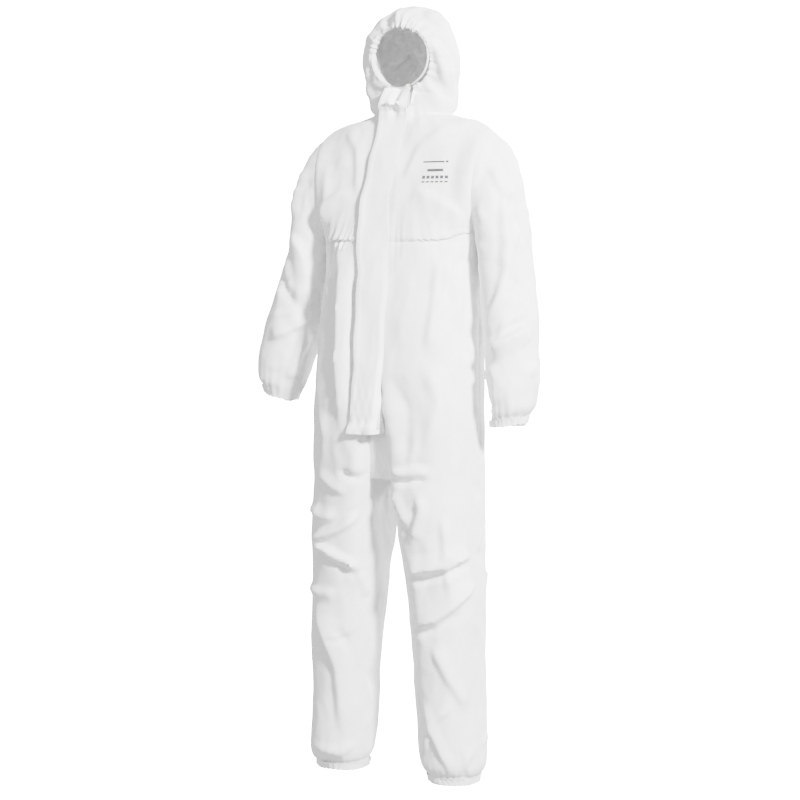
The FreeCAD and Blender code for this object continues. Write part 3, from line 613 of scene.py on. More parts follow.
def build_head():
    """Hood and collar as rings from the face opening back over the head to the crown's rear."""
    tree = cad_tree(*HEAD_NODES)
    columns = int(2.0 * math.pi * HEAD_RADIUS / GRID_STEP)
    rows = int(HEAD_LENGTH / GRID_STEP)
    turn = np.linspace(0.0, 2.0 * math.pi, columns + 1)
    outwards = np.stack([np.cos(turn), np.zeros_like(turn), np.sin(turn)], axis=1)
    start = np.empty(columns + 1)
    for j, out in enumerate(outwards):
        rim = Vector((FACE_HALF[0] * out[0], 0, FACE_HALF[1] * out[2])) * RIM_SPREAD
        hit = tree.ray_cast(Vector((rim.x, -REACH, FACE_CENTRE.z + rim.z)), Vector((0, 1, 0)),
                            REACH + 0.04)
        depth = FACE_CENTRE.y - (hit[0].y if hit[0] is not None else -0.02)
        start[j] = math.atan2(rim.length / RIM_SPREAD, depth)
    polar = fan(start, np.full(columns + 1, math.pi - 0.004), rows).T
    directions = np.sin(polar)[:, :, None] * outwards[None]
    directions[:, :, 1] = -np.cos(polar)
    centres = np.broadcast_to(np.array(FACE_CENTRE), directions.shape).copy()
    distance = cast_grid(tree, centres, directions, 0.3)
    below_neck = np.isnan(distance) & (directions[:, :, 2] < -0.6)
    distance = clean_grid(distance, ring=True)
    distance[below_neck] = np.maximum(distance[below_neck], 0.150)
    distance[:, -1] = distance[:, 0]
    points = centres + directions * distance[:, :, None]
    rim = points[0]
    inner_edge = [FACE_CENTRE.x + (rim[:, 0] - FACE_CENTRE.x) * HEM_SHARE, rim[:, 1] + 0.002,
                  FACE_CENTRE.z + (rim[:, 2] - FACE_CENTRE.z) * HEM_SHARE]
    hem = [np.stack([inner_edge[0], inner_edge[1] + back, inner_edge[2]], axis=1)
           for back in (0.012, 0.006, 0.0)]
    cloth = Cloth()
    cloth.patch("hood", np.concatenate([hem, points]), flip=True)
    head = cloth.finish("head_cloth")
    cross_plane(head, (0, 0, NECK_Z), (0, 0, -1), remove=True)
    cross_plane(head, (0, HOOD_SEAM_Y, 0), (0, 1, 0))
    cross_plane(head, HOOD_HINGE, NECK_NORMAL)
    return head


# ---------------------------------------------------------------- the sleeves

# Points along the arm: x and z of the middle, tilt of the section in degrees, depth of the middle.
ARM_TOP = ((0.200, 1.328, 85.0, 0.036), (0.219, 1.309, 76.0, 0.036), (0.233, 1.276, 64.0, 0.034),
           (0.241, 1.234, 48.0, 0.030), (0.248, 1.173, 26.0, 0.024))
ARM_LOWER = {
    "left": ((0.273, 1.024, 13.0, 0.0), (0.285, 0.893, 13.0, -0.014), (0.2865, 0.839, 12.0, -0.018),
             (0.281, 0.812, 10.0, -0.017), (0.280, 0.806, 10.0, -0.017)),
    "right": ((0.281, 1.024, 13.0, 0.0), (0.298, 0.929, 13.0, -0.014), (0.309, 0.885, 13.0, -0.018),
              (0.309, 0.861, 13.0, -0.017), (0.309, 0.855, 13.0, -0.017)),
}


ARM_RADIUS, ARM_GIRTH = 0.08, 0.46


def build_sleeve(side_name, mirror):
    """A sleeve as rings from the armhole to the wrist; also the places of its rings."""
    tree = cad_tree(f"{side_name}_sleeve")
    line = np.array(ARM_TOP + ARM_LOWER[side_name])
    angle = np.radians(line[:, 2])
    outer = line[:, :2] + ARM_RADIUS * np.stack([np.cos(angle), np.sin(angle)], axis=1)
    along = np.concatenate([[0.0], np.cumsum(np.linalg.norm(np.diff(outer, axis=0), axis=1))])
    rows = int(along[-1] / GRID_STEP)
    place = np.linspace(0.0, along[-1], rows)
    x, z, tilt, depth = (np.interp(place, along, values) for values in (line[:, 0], line[:, 1], angle,
                                                                        line[:, 3]))
    columns = int(ARM_GIRTH / GRID_STEP)
    turn = np.linspace(0.0, 2.0 * math.pi, columns + 1)
    directions = np.zeros((rows, columns + 1, 3))
    directions[:, :, 0] = np.cos(turn)[None] * np.cos(tilt)[:, None] * mirror
    directions[:, :, 1] = np.sin(turn)[None]
    directions[:, :, 2] = np.cos(turn)[None] * np.sin(tilt)[:, None]
    centres = np.zeros_like(directions)
    centres[:, :, 0] = x[:, None] * mirror
    centres[:, :, 1] = depth[:, None]
    centres[:, :, 2] = z[:, None]
    distance = clean_grid(cast_grid(tree, centres, directions, 0.15), ring=True)
    points = centres + directions * distance[:, :, None]
    hem = turned_under(points[::-1], points[-1, :-1].mean(axis=0))
    cloth = Cloth()
    cloth.patch(f"{side_name}_sleeve", np.concatenate([points, hem[::-1]]), flip=mirror > 0)
    return cloth.finish(f"{side_name}_sleeve_cloth"), points


def meet_sleeve(body, mirror, ring):
    """Bring the edge of the trunk's armhole onto the sleeve's first ring."""
    normal = np.array([mirror * ARMHOLE_NORMAL.x, 0, ARMHOLE_NORMAL.z])
    up = np.cross([0, 1, 0], normal)
    middle = ring[:-1].mean(axis=0)

    def turn_of(places):
        offset = places - middle
        return np.arctan2(offset[:, 1], offset @ up)

    work = bmesh.new()
    work.from_mesh(body.data)
    edge = sorted({vertex.index for line in work.edges if line.is_boundary for vertex in line.verts
                   if mirror * vertex.co.x > 0.12 and 1.17 < vertex.co.z < NECK_Z - 0.01})
    work.free()
    places = vertex_places(body)
    turns, order = turn_of(ring[:-1]), np.argsort(turn_of(ring[:-1]))
    ring_at = [np.interp(turn_of(places[edge]), turns[order], ring[:-1][order, k],
                         period=2.0 * math.pi) for k in range(3)]
    moves = np.stack(ring_at, axis=1) - places[edge]
    near = np.flatnonzero((mirror * places[:, 0] > 0.10) & (places[:, 2] > 1.13))
    shifted = places.copy()
    for index in near:
        gaps = np.linalg.norm(places[edge] - places[index], axis=1)
        closeness = np.exp(-gaps / 0.004) + 1e-12
        share = 1.0 if gaps.min() < 1e-6 else float(smooth_step(0.055, 0.0, gaps.min()))
        move = moves[gaps.argmin()] if share == 1.0 else (moves * closeness[:, None]).sum(axis=0) \
            / closeness.sum()
        shifted[index] += move * share
    set_places(body, shifted)


NECK_FADE = 0.035


def meet_hood(body, head):
    """Bring the top edge of the bodice onto the lower edge of the hood and collar."""
    middle_y = 0.5 * (HOOD_HINGE.y + CHIN_Y)

    def polar(places):
        offset_y = places[:, 1] - middle_y
        return np.arctan2(places[:, 0], offset_y), np.hypot(places[:, 0], offset_y)

    def radius_at(turns, places):
        turn, radius = polar(places)
        order = np.argsort(turn)
        return np.interp(turns, turn[order], radius[order], period=2.0 * math.pi)

    edge = vertex_places(head)
    edge = edge[np.abs(edge[:, 2] - NECK_Z) < 0.0005]
    places = vertex_places(body)
    top = places[places[:, 2] > NECK_Z - 0.0005]
    turns, _ = polar(places)
    share = smooth_step(NECK_Z - NECK_FADE, NECK_Z, places[:, 2])
    gain = 1.0 + share * (radius_at(turns, edge) / radius_at(turns, top) - 1.0)
    places[:, 0] *= gain
    places[:, 1] = middle_y + (places[:, 1] - middle_y) * gain
    set_places(body, places)


# ---------------------------------------------------------------- strips, bands and threads

def ribbon(name, line, across, out, width, thickness, material, closed=False, ribs=0.0, pitch=0.004,
           curl=0.0):
    """A strip swept along a line: a soft rectangle in section, with crimps along it if ribbed."""
    line, across, out = (np.asarray(values, float) for values in (line, across, out))
    section = [(-0.5, 0.0), (-0.47, 0.4), (-0.25, 0.5), (0.25, 0.5), (0.47, 0.4), (0.5, 0.0),
               (0.47, -0.4), (0.25, -0.5), (-0.25, -0.5), (-0.47, -0.4)]
    lengths = np.concatenate([[0.0], np.cumsum(np.linalg.norm(np.diff(line, axis=0), axis=1))])
    mesh = bmesh.new()
    uv = mesh.loops.layers.uv.new("cloth")
    rings = []
    for i in range(len(line)):
        lift = ribs * math.sin(2.0 * math.pi * lengths[i] / pitch)
        ring = [mesh.verts.new(line[i] + across[i] * (a * width)
                               + out[i] * (b * thickness + lift - curl * (2.0 * a) ** 2))
                for a, b in section]
        rings.append(ring)
    steps = [(i, i + 1) for i in range(len(line) - 1)]
    if closed:
        steps.append((len(line) - 1, 0))
    size = len(section)
    for i, j in steps:
        for k in range(size):
            following = (k + 1) % size
            face = mesh.faces.new([rings[i][k], rings[i][following], rings[j][following], rings[j][k]])
            face.smooth = True
            v_next = lengths[j] if j else lengths[-1] + GRID_STEP
            for loop, place in zip(face.loops, ((k, lengths[i]), (following, lengths[i]),
                                                (following, v_next), (k, v_next))):
                loop[uv].uv = (section[place[0]][0] * width, place[1])
    if not closed:
        mesh.faces.new(rings[0][::-1])
        mesh.faces.new(rings[-1])
    bmesh.ops.recalc_face_normals(mesh, faces=mesh.faces)
    data = bpy.data.meshes.new(name)
    mesh.to_mesh(data)
    mesh.free()
    return add_object(name, data, material)


def resample(line, step):
    line = np.asarray(line, float)
    lengths = np.concatenate([[0.0], np.cumsum(np.linalg.norm(np.diff(line, axis=0), axis=1))])
    count = max(2, int(lengths[-1] / step) + 1)
    share = np.linspace(0.0, lengths[-1], count)
    return np.stack([np.interp(share, lengths, line[:, k]) for k in range(3)], axis=1)


def add_stitches(thing, line, stitch=0.0028, pitch=0.0042, radius=0.00035):
    """Sew a line of short thread stitches into a piece, lying on its cloth."""
    tree = mesh_tree(thing)
    points = resample(line, pitch)
    work = bmesh.new()
    work.from_mesh(thing.data)
    uv = work.loops.layers.uv.get("cloth") or work.loops.layers.uv.new("cloth")
    for a, b in zip(points[:-1], points[1:]):
        middle = Vector((a + b) / 2)
        found = tree.find_nearest(middle)
        if found[0] is None or (found[0] - middle).length > 0.02:
            continue
        normal = found[1]
        along = Vector(b - a).normalized()
        along = (along - normal * along.dot(normal)).normalized()
        side = normal.cross(along)
        rings = []
        for place, share in ((-0.5, 0.25), (-0.3, 1.0), (0.3, 1.0), (0.5, 0.25)):
            centre = found[0] + along * (place * stitch) + normal * (radius * (1.4 * share - 0.5))
            rings.append([work.verts.new(centre + (side * math.cos(turn) + normal * math.sin(turn))
                                         * radius * share)
                          for turn in (0.0, math.pi / 3, 2 * math.pi / 3, math.pi)])
        faces = [work.faces.new([first[k], first[(k + 1) % 4], second[(k + 1) % 4], second[k]])
                 for first, second in zip(rings[:-1], rings[1:]) for k in range(4)]
        faces += [work.faces.new(rings[0][::-1]), work.faces.new(rings[-1])]
        for face in faces:
            face.smooth = True
            for loop in face.loops:
                loop[uv].uv = (loop.vert.co.x, loop.vert.co.z)
    work.to_mesh(thing.data)
    work.free()


# ---------------------------------------------------------------- materials

def new_material(name, colour, roughness):
    material = bpy.data.materials.new(name)
    material.use_nodes = True
    nodes = material.node_tree.nodes
    shader = nodes["Principled BSDF"]
    shader.inputs["Base Color"].default_value = (*colour, 1.0)
    shader.inputs["Roughness"].default_value = roughness
    return material, material.node_tree, shader


def add_node(tree, kind, **settings):
    """A shader node; settings named in its sockets are values or links, others its properties."""
    node = tree.nodes.new(kind)
    for key, value in settings.items():
        socket = node.inputs.get(key.replace("_", " "))
        if key.startswith("in") and key[2:].isdigit():
            socket = node.inputs[int(key[2:])]
        if socket is None:
            setattr(node, key, value)
        elif isinstance(value, bpy.types.NodeSocket):
            tree.links.new(value, socket)
        else:
            socket.default_value = value
    return node


def tinted(tree, factor, low, high, from_low=0.3, from_high=0.7):
    """A colour between two, by a factor."""
    share = add_node(tree, "ShaderNodeMapRange", Value=factor, From_Min=from_low, From_Max=from_high)
    mix = add_node(tree, "ShaderNodeMix", data_type="RGBA")
    tree.links.new(share.outputs[0], mix.inputs[0])
    mix.inputs[6].default_value = (*low, 1.0)
    mix.inputs[7].default_value = (*high, 1.0)
    return mix.outputs[2]


def wave_of(tree, value, pitch, phase=0.0):
    """Sine of a length with the given pitch, from -1 to 1."""
    turned = add_node(tree, "ShaderNodeMath", operation="MULTIPLY_ADD", in0=value,
                      in1=2.0 * math.pi / pitch, in2=phase)
    return add_node(tree, "ShaderNodeMath", operation="SINE", in0=turned.outputs[0]).outputs[0]


def cloth_material(name, colour, shade, crinkle=1.0):
    """Spunbond nonwoven: fused points in a diamond grid, clouds of fibre, streaks and crinkle."""
    material, tree, shader = new_material(name, colour, 0.7)
    shader.inputs["Sheen Weight"].default_value = 0.12
    shader.inputs["Sheen Roughness"].default_value = 0.5
    shader.inputs["Specular IOR Level"].default_value = 0.35
    uv = add_node(tree, "ShaderNodeUVMap", uv_map="cloth").outputs[0]
    parts = add_node(tree, "ShaderNodeSeparateXYZ", Vector=uv)
    dots = add_node(tree, "ShaderNodeMath", operation="MULTIPLY",
                    in0=wave_of(tree, parts.outputs[0], 0.0030),
                    in1=wave_of(tree, parts.outputs[1], 0.0052))
    pits = add_node(tree, "ShaderNodeMapRange", Value=dots.outputs[0], From_Min=0.55, From_Max=0.95,
                    interpolation_type="SMOOTHSTEP")
    clouds = add_node(tree, "ShaderNodeTexNoise", Vector=uv, Scale=55.0, Detail=4.0, Roughness=0.65)
    streaks_place = add_node(tree, "ShaderNodeMapping", Vector=uv)
    streaks_place.inputs["Scale"].default_value = (1400.0, 160.0, 1.0)
    streaks = add_node(tree, "ShaderNodeTexNoise", Vector=streaks_place.outputs[0], Scale=1.0,
                       Detail=3.0, Roughness=0.6, Distortion=0.6)
    wrinkles = add_node(tree, "ShaderNodeTexVoronoi", Vector=uv, Scale=34.0, feature="SMOOTH_F1",
                        Smoothness=0.4)
    tree.links.new(tinted(tree, clouds.outputs[0], shade, colour), shader.inputs["Base Color"])
    rough = add_node(tree, "ShaderNodeMapRange", Value=streaks.outputs[0], From_Min=0.3, From_Max=0.7,
                     To_Min=0.6, To_Max=0.8)
    tree.links.new(rough.outputs[0], shader.inputs["Roughness"])
    fine = add_node(tree, "ShaderNodeMath", operation="MULTIPLY_ADD", in0=pits.outputs[0], in1=-0.5,
                    in2=streaks.outputs[0])
    small = add_node(tree, "ShaderNodeBump", Strength=0.35, Distance=0.00025, Height=fine.outputs[0])
    large = add_node(tree, "ShaderNodeBump", Strength=0.30 * crinkle, Distance=0.0022,
                     Height=wrinkles.outputs[0], Normal=small.outputs[0])
    tree.links.new(large.outputs[0], shader.inputs["Normal"])
    return material


def knit_material(name, colour, shade, pitch, roughness=0.8, depth=0.0004):
    """Knitted or woven strip: rows of loops across and ribs along it, with painted shade in the hollows
    between the loops.
    """
    material, tree, shader = new_material(name, colour, roughness)
    uv = add_node(tree, "ShaderNodeUVMap", uv_map="cloth").outputs[0]
    parts = add_node(tree, "ShaderNodeSeparateXYZ", Vector=uv)
    loops = add_node(tree, "ShaderNodeMath", operation="MULTIPLY_ADD",
                     in0=wave_of(tree, parts.outputs[0], pitch),
                     in1=wave_of(tree, parts.outputs[1], pitch * 0.7), in2=0.5)
    # The colour follows the loops' height, as the bump does: painted shade darkens the hollows between the
    # loops.
    tree.links.new(tinted(tree, loops.outputs[0], shade, colour, 0.0, 1.0), shader.inputs["Base Color"])
    bump = add_node(tree, "ShaderNodeBump", Strength=0.6, Distance=depth, Height=loops.outputs[0])
    tree.links.new(bump.outputs[0], shader.inputs["Normal"])
    return material


def hard_material(name, colour, shade, roughness, scale, metallic=0.0, depth=0.0001):
    """Moulded plastic, lacquered metal or coated paper: cloudy colour and a fine uneven surface."""
    material, tree, shader = new_material(name, colour, roughness)
    shader.inputs["Metallic"].default_value = metallic
    place = add_node(tree, "ShaderNodeTexCoord").outputs["Object"]
    clouds = add_node(tree, "ShaderNodeTexNoise", Vector=place, Scale=scale, Detail=5.0)
    tree.links.new(tinted(tree, clouds.outputs[0], shade, colour), shader.inputs["Base Color"])
    rough = add_node(tree, "ShaderNodeMapRange", Value=clouds.outputs[0], From_Min=0.3, From_Max=0.7,
                     To_Min=roughness * 0.8, To_Max=min(1.0, roughness * 1.25))
    tree.links.new(rough.outputs[0], shader.inputs["Roughness"])
    bump = add_node(tree, "ShaderNodeBump", Strength=0.4, Distance=depth, Height=clouds.outputs[0])
    tree.links.new(bump.outputs[0], shader.inputs["Normal"])
    return material


CLOTH = cloth_material("nonwoven_cloth", (0.83, 0.83, 0.825), (0.77, 0.77, 0.765))
# The flap's cloth is the suit's cloth painted lighter: painted light for the brightness the flap has where it
# faces the light.
FLAP_CLOTH_PAINTED_LIGHT = cloth_material("nonwoven_two_ply", (0.96, 0.965, 0.975), (0.93, 0.935, 0.945), 0.5)
# Elastic, tape and label carry painted shade in the hollows of their loops.
ELASTIC = knit_material("knitted_elastic", (0.82, 0.82, 0.80), (0.66, 0.66, 0.64), 0.0012)
TAPE = knit_material("woven_tape", (0.82, 0.82, 0.81), (0.70, 0.70, 0.69), 0.0008, 0.7, 0.0002)
COIL = hard_material("nylon_coil", (0.84, 0.84, 0.82), (0.78, 0.78, 0.76), 0.38, 400.0)
METAL = hard_material("lacquered_metal", (0.80, 0.80, 0.78), (0.72, 0.72, 0.70), 0.32, 260.0, 0.25)
GLUE = hard_material("transfer_adhesive", (0.80, 0.78, 0.68), (0.72, 0.70, 0.60), 0.25, 120.0)
PAPER = hard_material("siliconised_paper", (0.84, 0.78, 0.60), (0.80, 0.73, 0.54), 0.42, 90.0)
LABEL = knit_material("woven_label", (0.86, 0.86, 0.86), (0.76, 0.76, 0.76), 0.0010, 0.6, 0.0002)
INK = hard_material("print_ink", (0.035, 0.035, 0.04), (0.07, 0.07, 0.075), 0.6, 900.0)


# ---------------------------------------------------------------- the garment, folded

def waist_gathers(places):
    """The seam at the waist drawn in, with small gathers that fade away from it."""
    z = places[:, 2]
    turn = np.arctan2(places[:, 0], -places[:, 1])
    behind = smooth_step(1.5, 2.1, np.abs(turn))
    right_front = np.exp(-((turn + 0.95) / 0.35) ** 2)
    strength = 0.0014 + 0.0032 * behind + 0.0030 * right_front
    fade = np.exp(-np.abs(z - WAIST_Z) / 0.028)
    pleats = np.cos(64.0 * turn + 2.0 * np.sin(9.0 * turn)) * fade * strength
    seam = -0.0030 * np.exp(-((z - WAIST_Z) / 0.005) ** 2)
    drawn = -0.0045 * behind * np.exp(-((z - WAIST_Z + 0.012) / 0.022) ** 2)
    return (pleats + seam + drawn) * (np.abs(z - WAIST_Z) < 0.12)


def sewn_valleys(places):
    """Side seams and the centre seams, each a narrow valley in the cloth."""
    x, y, z = places.T
    depth = -0.0014
    side = np.exp(-((y - body_middle_y(z)) / 0.0035) ** 2) * (np.abs(x) > 0.12)
    centre_back = np.exp(-(x / 0.0035) ** 2) * (y > 0.02) * (z > CROTCH_HIGH.z)
    low_front = np.exp(-(x / 0.0035) ** 2) * (y < -0.05) * (z < ZIP_BOTTOM_Z - 0.01)
    return depth * (side + centre_back + low_front)


def flap_tail(places):
    """Below the flap the cloth of its end runs on as a raised strip to the crotch."""
    x, y, z = places.T
    height = 0.0055
    right = 0.004 + 0.010 * smooth_step(0.80, 0.69, z)
    left = -0.046 - 0.012 * smooth_step(0.80, 0.70, z)
    across = smooth_step(left - 0.004, left + 0.004, x) * smooth_step(right + 0.004, right - 0.003, x)
    along = smooth_step(0.690, 0.705, z) * smooth_step(0.825, 0.79, z)
    return height * across * along * (y < -0.06) * (1.0 + 0.25 * np.sin(x * 260.0))


def body_extra(places):
    """All that the seams, the elastics and the flap's end do to the body's cloth."""
    hem = -0.0025 * np.exp(-((places[:, 2] - HEM_Z) / 0.0030) ** 2)
    pucker = 0.0016 * np.cos(np.arctan2(places[:, 1] + 0.02, np.abs(places[:, 0]) - 0.145) * 30.0) \
        * np.exp(-places[:, 2] / 0.025)
    return waist_gathers(places) + sewn_valleys(places) + flap_tail(places) + hem + pucker


def fold(height, width, lean, *path):
    return path, height, width, lean


BODY_FOLDS = [
    # beside the flap: a long raised fold on the free side and the shaded channel next to it
    fold(0.0110, 0.026, 0.55, (-0.098, -0.09, 1.205), (-0.090, -0.12, 1.0), (-0.080, -0.135, 0.775)),
    fold(-0.0050, 0.012, 0.0, (-0.060, -0.10, 1.20), (-0.056, -0.125, 1.0), (-0.052, -0.14, 0.80)),
    # front of the left hip
    fold(0.0065, 0.022, 0.4, (0.144, -0.09, 1.183), (0.137, -0.10, 1.085), (0.126, -0.12, 0.956)),
    fold(0.0060, 0.018, -0.4, (0.148, -0.08, 1.179), (0.186, -0.06, 1.093), (0.189, -0.07, 1.012)),
    fold(0.0060, 0.030, 0.3, (0.126, -0.12, 0.95), (0.150, -0.11, 0.86), (0.120, -0.12, 0.74)),
    fold(-0.0060, 0.035, 0.0, (0.030, -0.14, 0.93), (0.090, -0.13, 0.84), (0.075, -0.13, 0.72)),
    fold(0.0050, 0.030, 0.3, (-0.130, -0.10, 1.17), (-0.150, -0.08, 1.00), (-0.130, -0.10, 0.80)),
    # chest and shoulders
    fold(0.0050, 0.026, 0.5, (0.185, -0.02, 1.255), (0.120, -0.085, 1.31), (0.060, -0.08, 1.33)),
    fold(0.0055, 0.024, -0.4, (-0.190, -0.02, 1.26), (-0.130, -0.08, 1.32), (-0.080, -0.08, 1.33)),
    fold(0.0040, 0.022, 0.3, (0.130, 0.0, 1.46), (0.070, -0.05, 1.42), (0.040, -0.06, 1.34)),
    fold(0.0045, 0.020, 0.3, (-0.130, 0.0, 1.46), (-0.090, -0.05, 1.42), (-0.075, -0.07, 1.30)),
    fold(0.0050, 0.024, 0.3, (-0.170, -0.04, 1.40), (-0.165, -0.06, 1.30), (-0.175, -0.05, 1.23)),
    # the crotch: seam across the top of the left leg and the drag fold below it
    fold(-0.0100, 0.012, 0.3, (0.022, -0.135, 0.682), (0.080, -0.13, 0.680), (0.134, -0.11, 0.690)),
    fold(0.0060, 0.020, -0.4, (0.030, -0.135, 0.705), (0.080, -0.13, 0.702), (0.130, -0.11, 0.715)),
    fold(-0.0080, 0.012, -0.3, (-0.010, -0.135, 0.690), (-0.050, -0.13, 0.680), (-0.090, -0.12, 0.700)),
    fold(0.0090, 0.016, 0.3, (0.033, -0.13, 0.662), (0.060, -0.13, 0.62), (0.089, -0.13, 0.583)),
    fold(0.0080, 0.016, 0.3, (0.105, -0.12, 0.665), (0.116, -0.12, 0.62), (0.092, -0.12, 0.54)),
    # left leg: thigh crease, the two knee folds, shin
    fold(0.0080, 0.018, 0.4, (0.168, -0.12, 0.620), (0.176, -0.12, 0.50), (0.186, -0.11, 0.420)),
    fold(0.0125, 0.024, 0.5, (0.060, -0.12, 0.482), (0.120, -0.12, 0.487), (0.172, -0.11, 0.500),
         (0.224, -0.05, 0.524)),
    fold(-0.0080, 0.014, 0.0, (0.060, -0.12, 0.462), (0.120, -0.12, 0.466), (0.176, -0.11, 0.482),
         (0.222, -0.05, 0.505)),
    fold(0.0110, 0.024, 0.5, (0.083, -0.11, 0.355), (0.140, -0.11, 0.375), (0.183, -0.11, 0.403),
         (0.229, -0.04, 0.461)),
    fold(-0.0070, 0.014, 0.0, (0.083, -0.11, 0.337), (0.150, -0.11, 0.358), (0.200, -0.08, 0.400)),
    fold(0.0070, 0.020, 0.3, (0.136, -0.11, 0.328), (0.170, -0.10, 0.25), (0.213, -0.07, 0.168)),
    fold(0.0060, 0.016, 0.3, (0.108, -0.10, 0.200), (0.140, -0.10, 0.11), (0.181, -0.09, 0.02)),
    fold(0.0055, 0.016, -0.3, (0.180, -0.09, 0.190), (0.140, -0.10, 0.15), (0.100, -0.10, 0.06)),
    # right leg: star of folds above the knee, the flat below it, ankle
    fold(0.0110, 0.022, 0.5, (-0.165, -0.08, 0.528), (-0.086, -0.12, 0.570), (-0.028, -0.13, 0.611)),
    fold(-0.0070, 0.014, 0.0, (-0.165, -0.08, 0.545), (-0.090, -0.12, 0.590), (-0.045, -0.13, 0.625)),
    fold(0.0120, 0.024, -0.5, (-0.155, -0.08, 0.535), (-0.090, -0.12, 0.500), (-0.024, -0.11, 0.462)),
    fold(-0.0070, 0.014, 0.0, (-0.165, -0.08, 0.515), (-0.095, -0.11, 0.478), (-0.035, -0.11, 0.445)),
    fold(0.0060, 0.014, 0.3, (-0.030, -0.12, 0.465), (-0.018, -0.11, 0.43), (-0.004, -0.10, 0.40)),
    fold(0.0080, 0.018, 0.3, (-0.175, -0.07, 0.610), (-0.130, -0.10, 0.590), (-0.090, -0.12, 0.600)),
    fold(0.0070, 0.018, -0.3, (-0.202, -0.06, 0.425), (-0.150, -0.09, 0.416), (-0.105, -0.10, 0.420)),
    fold(0.0080, 0.030, 0.5, (-0.165, -0.08, 0.405), (-0.114, -0.10, 0.239), (-0.101, -0.10, 0.072)),
    fold(0.0050, 0.016, 0.2, (-0.180, -0.07, 0.060), (-0.110, -0.10, 0.045), (-0.040, -0.09, 0.070)),
    fold(0.0060, 0.018, 0.3, (-0.150, -0.10, 0.690), (-0.100, -0.12, 0.660), (-0.060, -0.13, 0.650)),
    # back: seat drag lines and knee hollows
    fold(0.0080, 0.026, 0.3, (-0.020, 0.10, 0.79), (-0.090, 0.12, 0.84), (-0.160, 0.08, 0.90)),
    fold(0.0080, 0.026, -0.3, (0.020, 0.10, 0.79), (0.090, 0.12, 0.83), (0.165, 0.08, 0.88)),
    fold(0.0090, 0.024, 0.4, (0.070, 0.07, 0.46), (0.130, 0.075, 0.44), (0.190, 0.03, 0.47)),
    fold(0.0090, 0.024, 0.4, (-0.070, 0.07, 0.45), (-0.130, 0.075, 0.47), (-0.190, 0.03, 0.44)),
    fold(0.0070, 0.030, 0.3, (0.080, 0.13, 1.40), (0.100, 0.14, 1.30), (0.070, 0.13, 1.23)),
    fold(0.0070, 0.030, -0.3, (-0.090, 0.13, 1.42), (-0.080, 0.14, 1.31), (-0.110, 0.12, 1.23)),
]
SLEEVE_FOLDS = {
    "left": [
        fold(0.0100, 0.022, 0.4, (0.262, -0.02, 1.330), (0.286, -0.05, 1.24), (0.288, -0.05, 1.166),
             (0.274, -0.06, 1.085), (0.232, -0.05, 0.988)),
        fold(0.0085, 0.018, -0.3, (0.312, 0.0, 1.250), (0.300, -0.04, 1.20), (0.286, -0.05, 1.150)),
        fold(0.0110, 0.022, 0.5, (0.339, -0.03, 1.029), (0.300, -0.06, 1.00), (0.248, -0.06, 0.968)),
        fold(-0.0070, 0.014, 0.0, (0.339, -0.03, 1.048), (0.300, -0.06, 1.022), (0.255, -0.06, 0.992)),
        fold(0.0070, 0.020, 0.3, (0.240, -0.03, 1.38), (0.262, -0.03, 1.33), (0.290, -0.01, 1.30)),
        fold(0.0060, 0.018, 0.3, (0.262, -0.06, 0.95), (0.275, -0.06, 0.90), (0.270, -0.06, 0.85)),
    ],
    "right": [
        fold(0.0100, 0.022, -0.4, (-0.256, -0.03, 1.235), (-0.230, -0.05, 1.17), (-0.222, -0.05, 1.115),
             (-0.220, -0.05, 1.044)),
        fold(0.0100, 0.022, 0.4, (-0.300, -0.05, 0.985), (-0.260, -0.06, 1.01), (-0.212, -0.05, 1.039)),
        fold(0.0070, 0.018, 0.3, (-0.215, -0.05, 1.030), (-0.245, -0.06, 0.95), (-0.277, -0.06, 0.885)),
        fold(0.0070, 0.020, 0.3, (-0.240, -0.03, 1.39), (-0.262, -0.04, 1.32), (-0.262, -0.04, 1.26)),
        fold(-0.0060, 0.016, 0.0, (-0.300, -0.04, 1.15), (-0.270, -0.06, 1.10), (-0.240, -0.06, 1.06)),
    ],
}
HOOD_FOLDS = [
    fold(0.0070, 0.020, 0.3, (-0.012, 0.025, 1.737), (-0.006, 0.003, 1.724), (-0.010, -0.015, 1.694)),
    fold(-0.0060, 0.018, 0.0, (-0.040, 0.03, 1.735), (-0.036, 0.0, 1.715), (-0.034, -0.015, 1.690)),
    fold(0.0060, 0.016, 0.3, (0.040, 0.03, 1.735), (0.070, 0.01, 1.71), (0.095, 0.03, 1.67)),
    fold(0.0080, 0.018, 0.4, (0.078, -0.005, 1.655), (0.092, 0.015, 1.60), (0.100, 0.03, 1.54)),
    fold(-0.0060, 0.016, 0.0, (0.085, 0.0, 1.67), (0.103, 0.02, 1.63), (0.108, 0.035, 1.59)),
    fold(0.0070, 0.018, 0.3, (-0.080, 0.0, 1.62), (-0.095, 0.02, 1.57), (-0.088, 0.02, 1.52)),
    fold(0.0060, 0.018, -0.3, (0.060, -0.02, 1.57), (0.080, 0.0, 1.545), (0.100, 0.03, 1.515)),
]


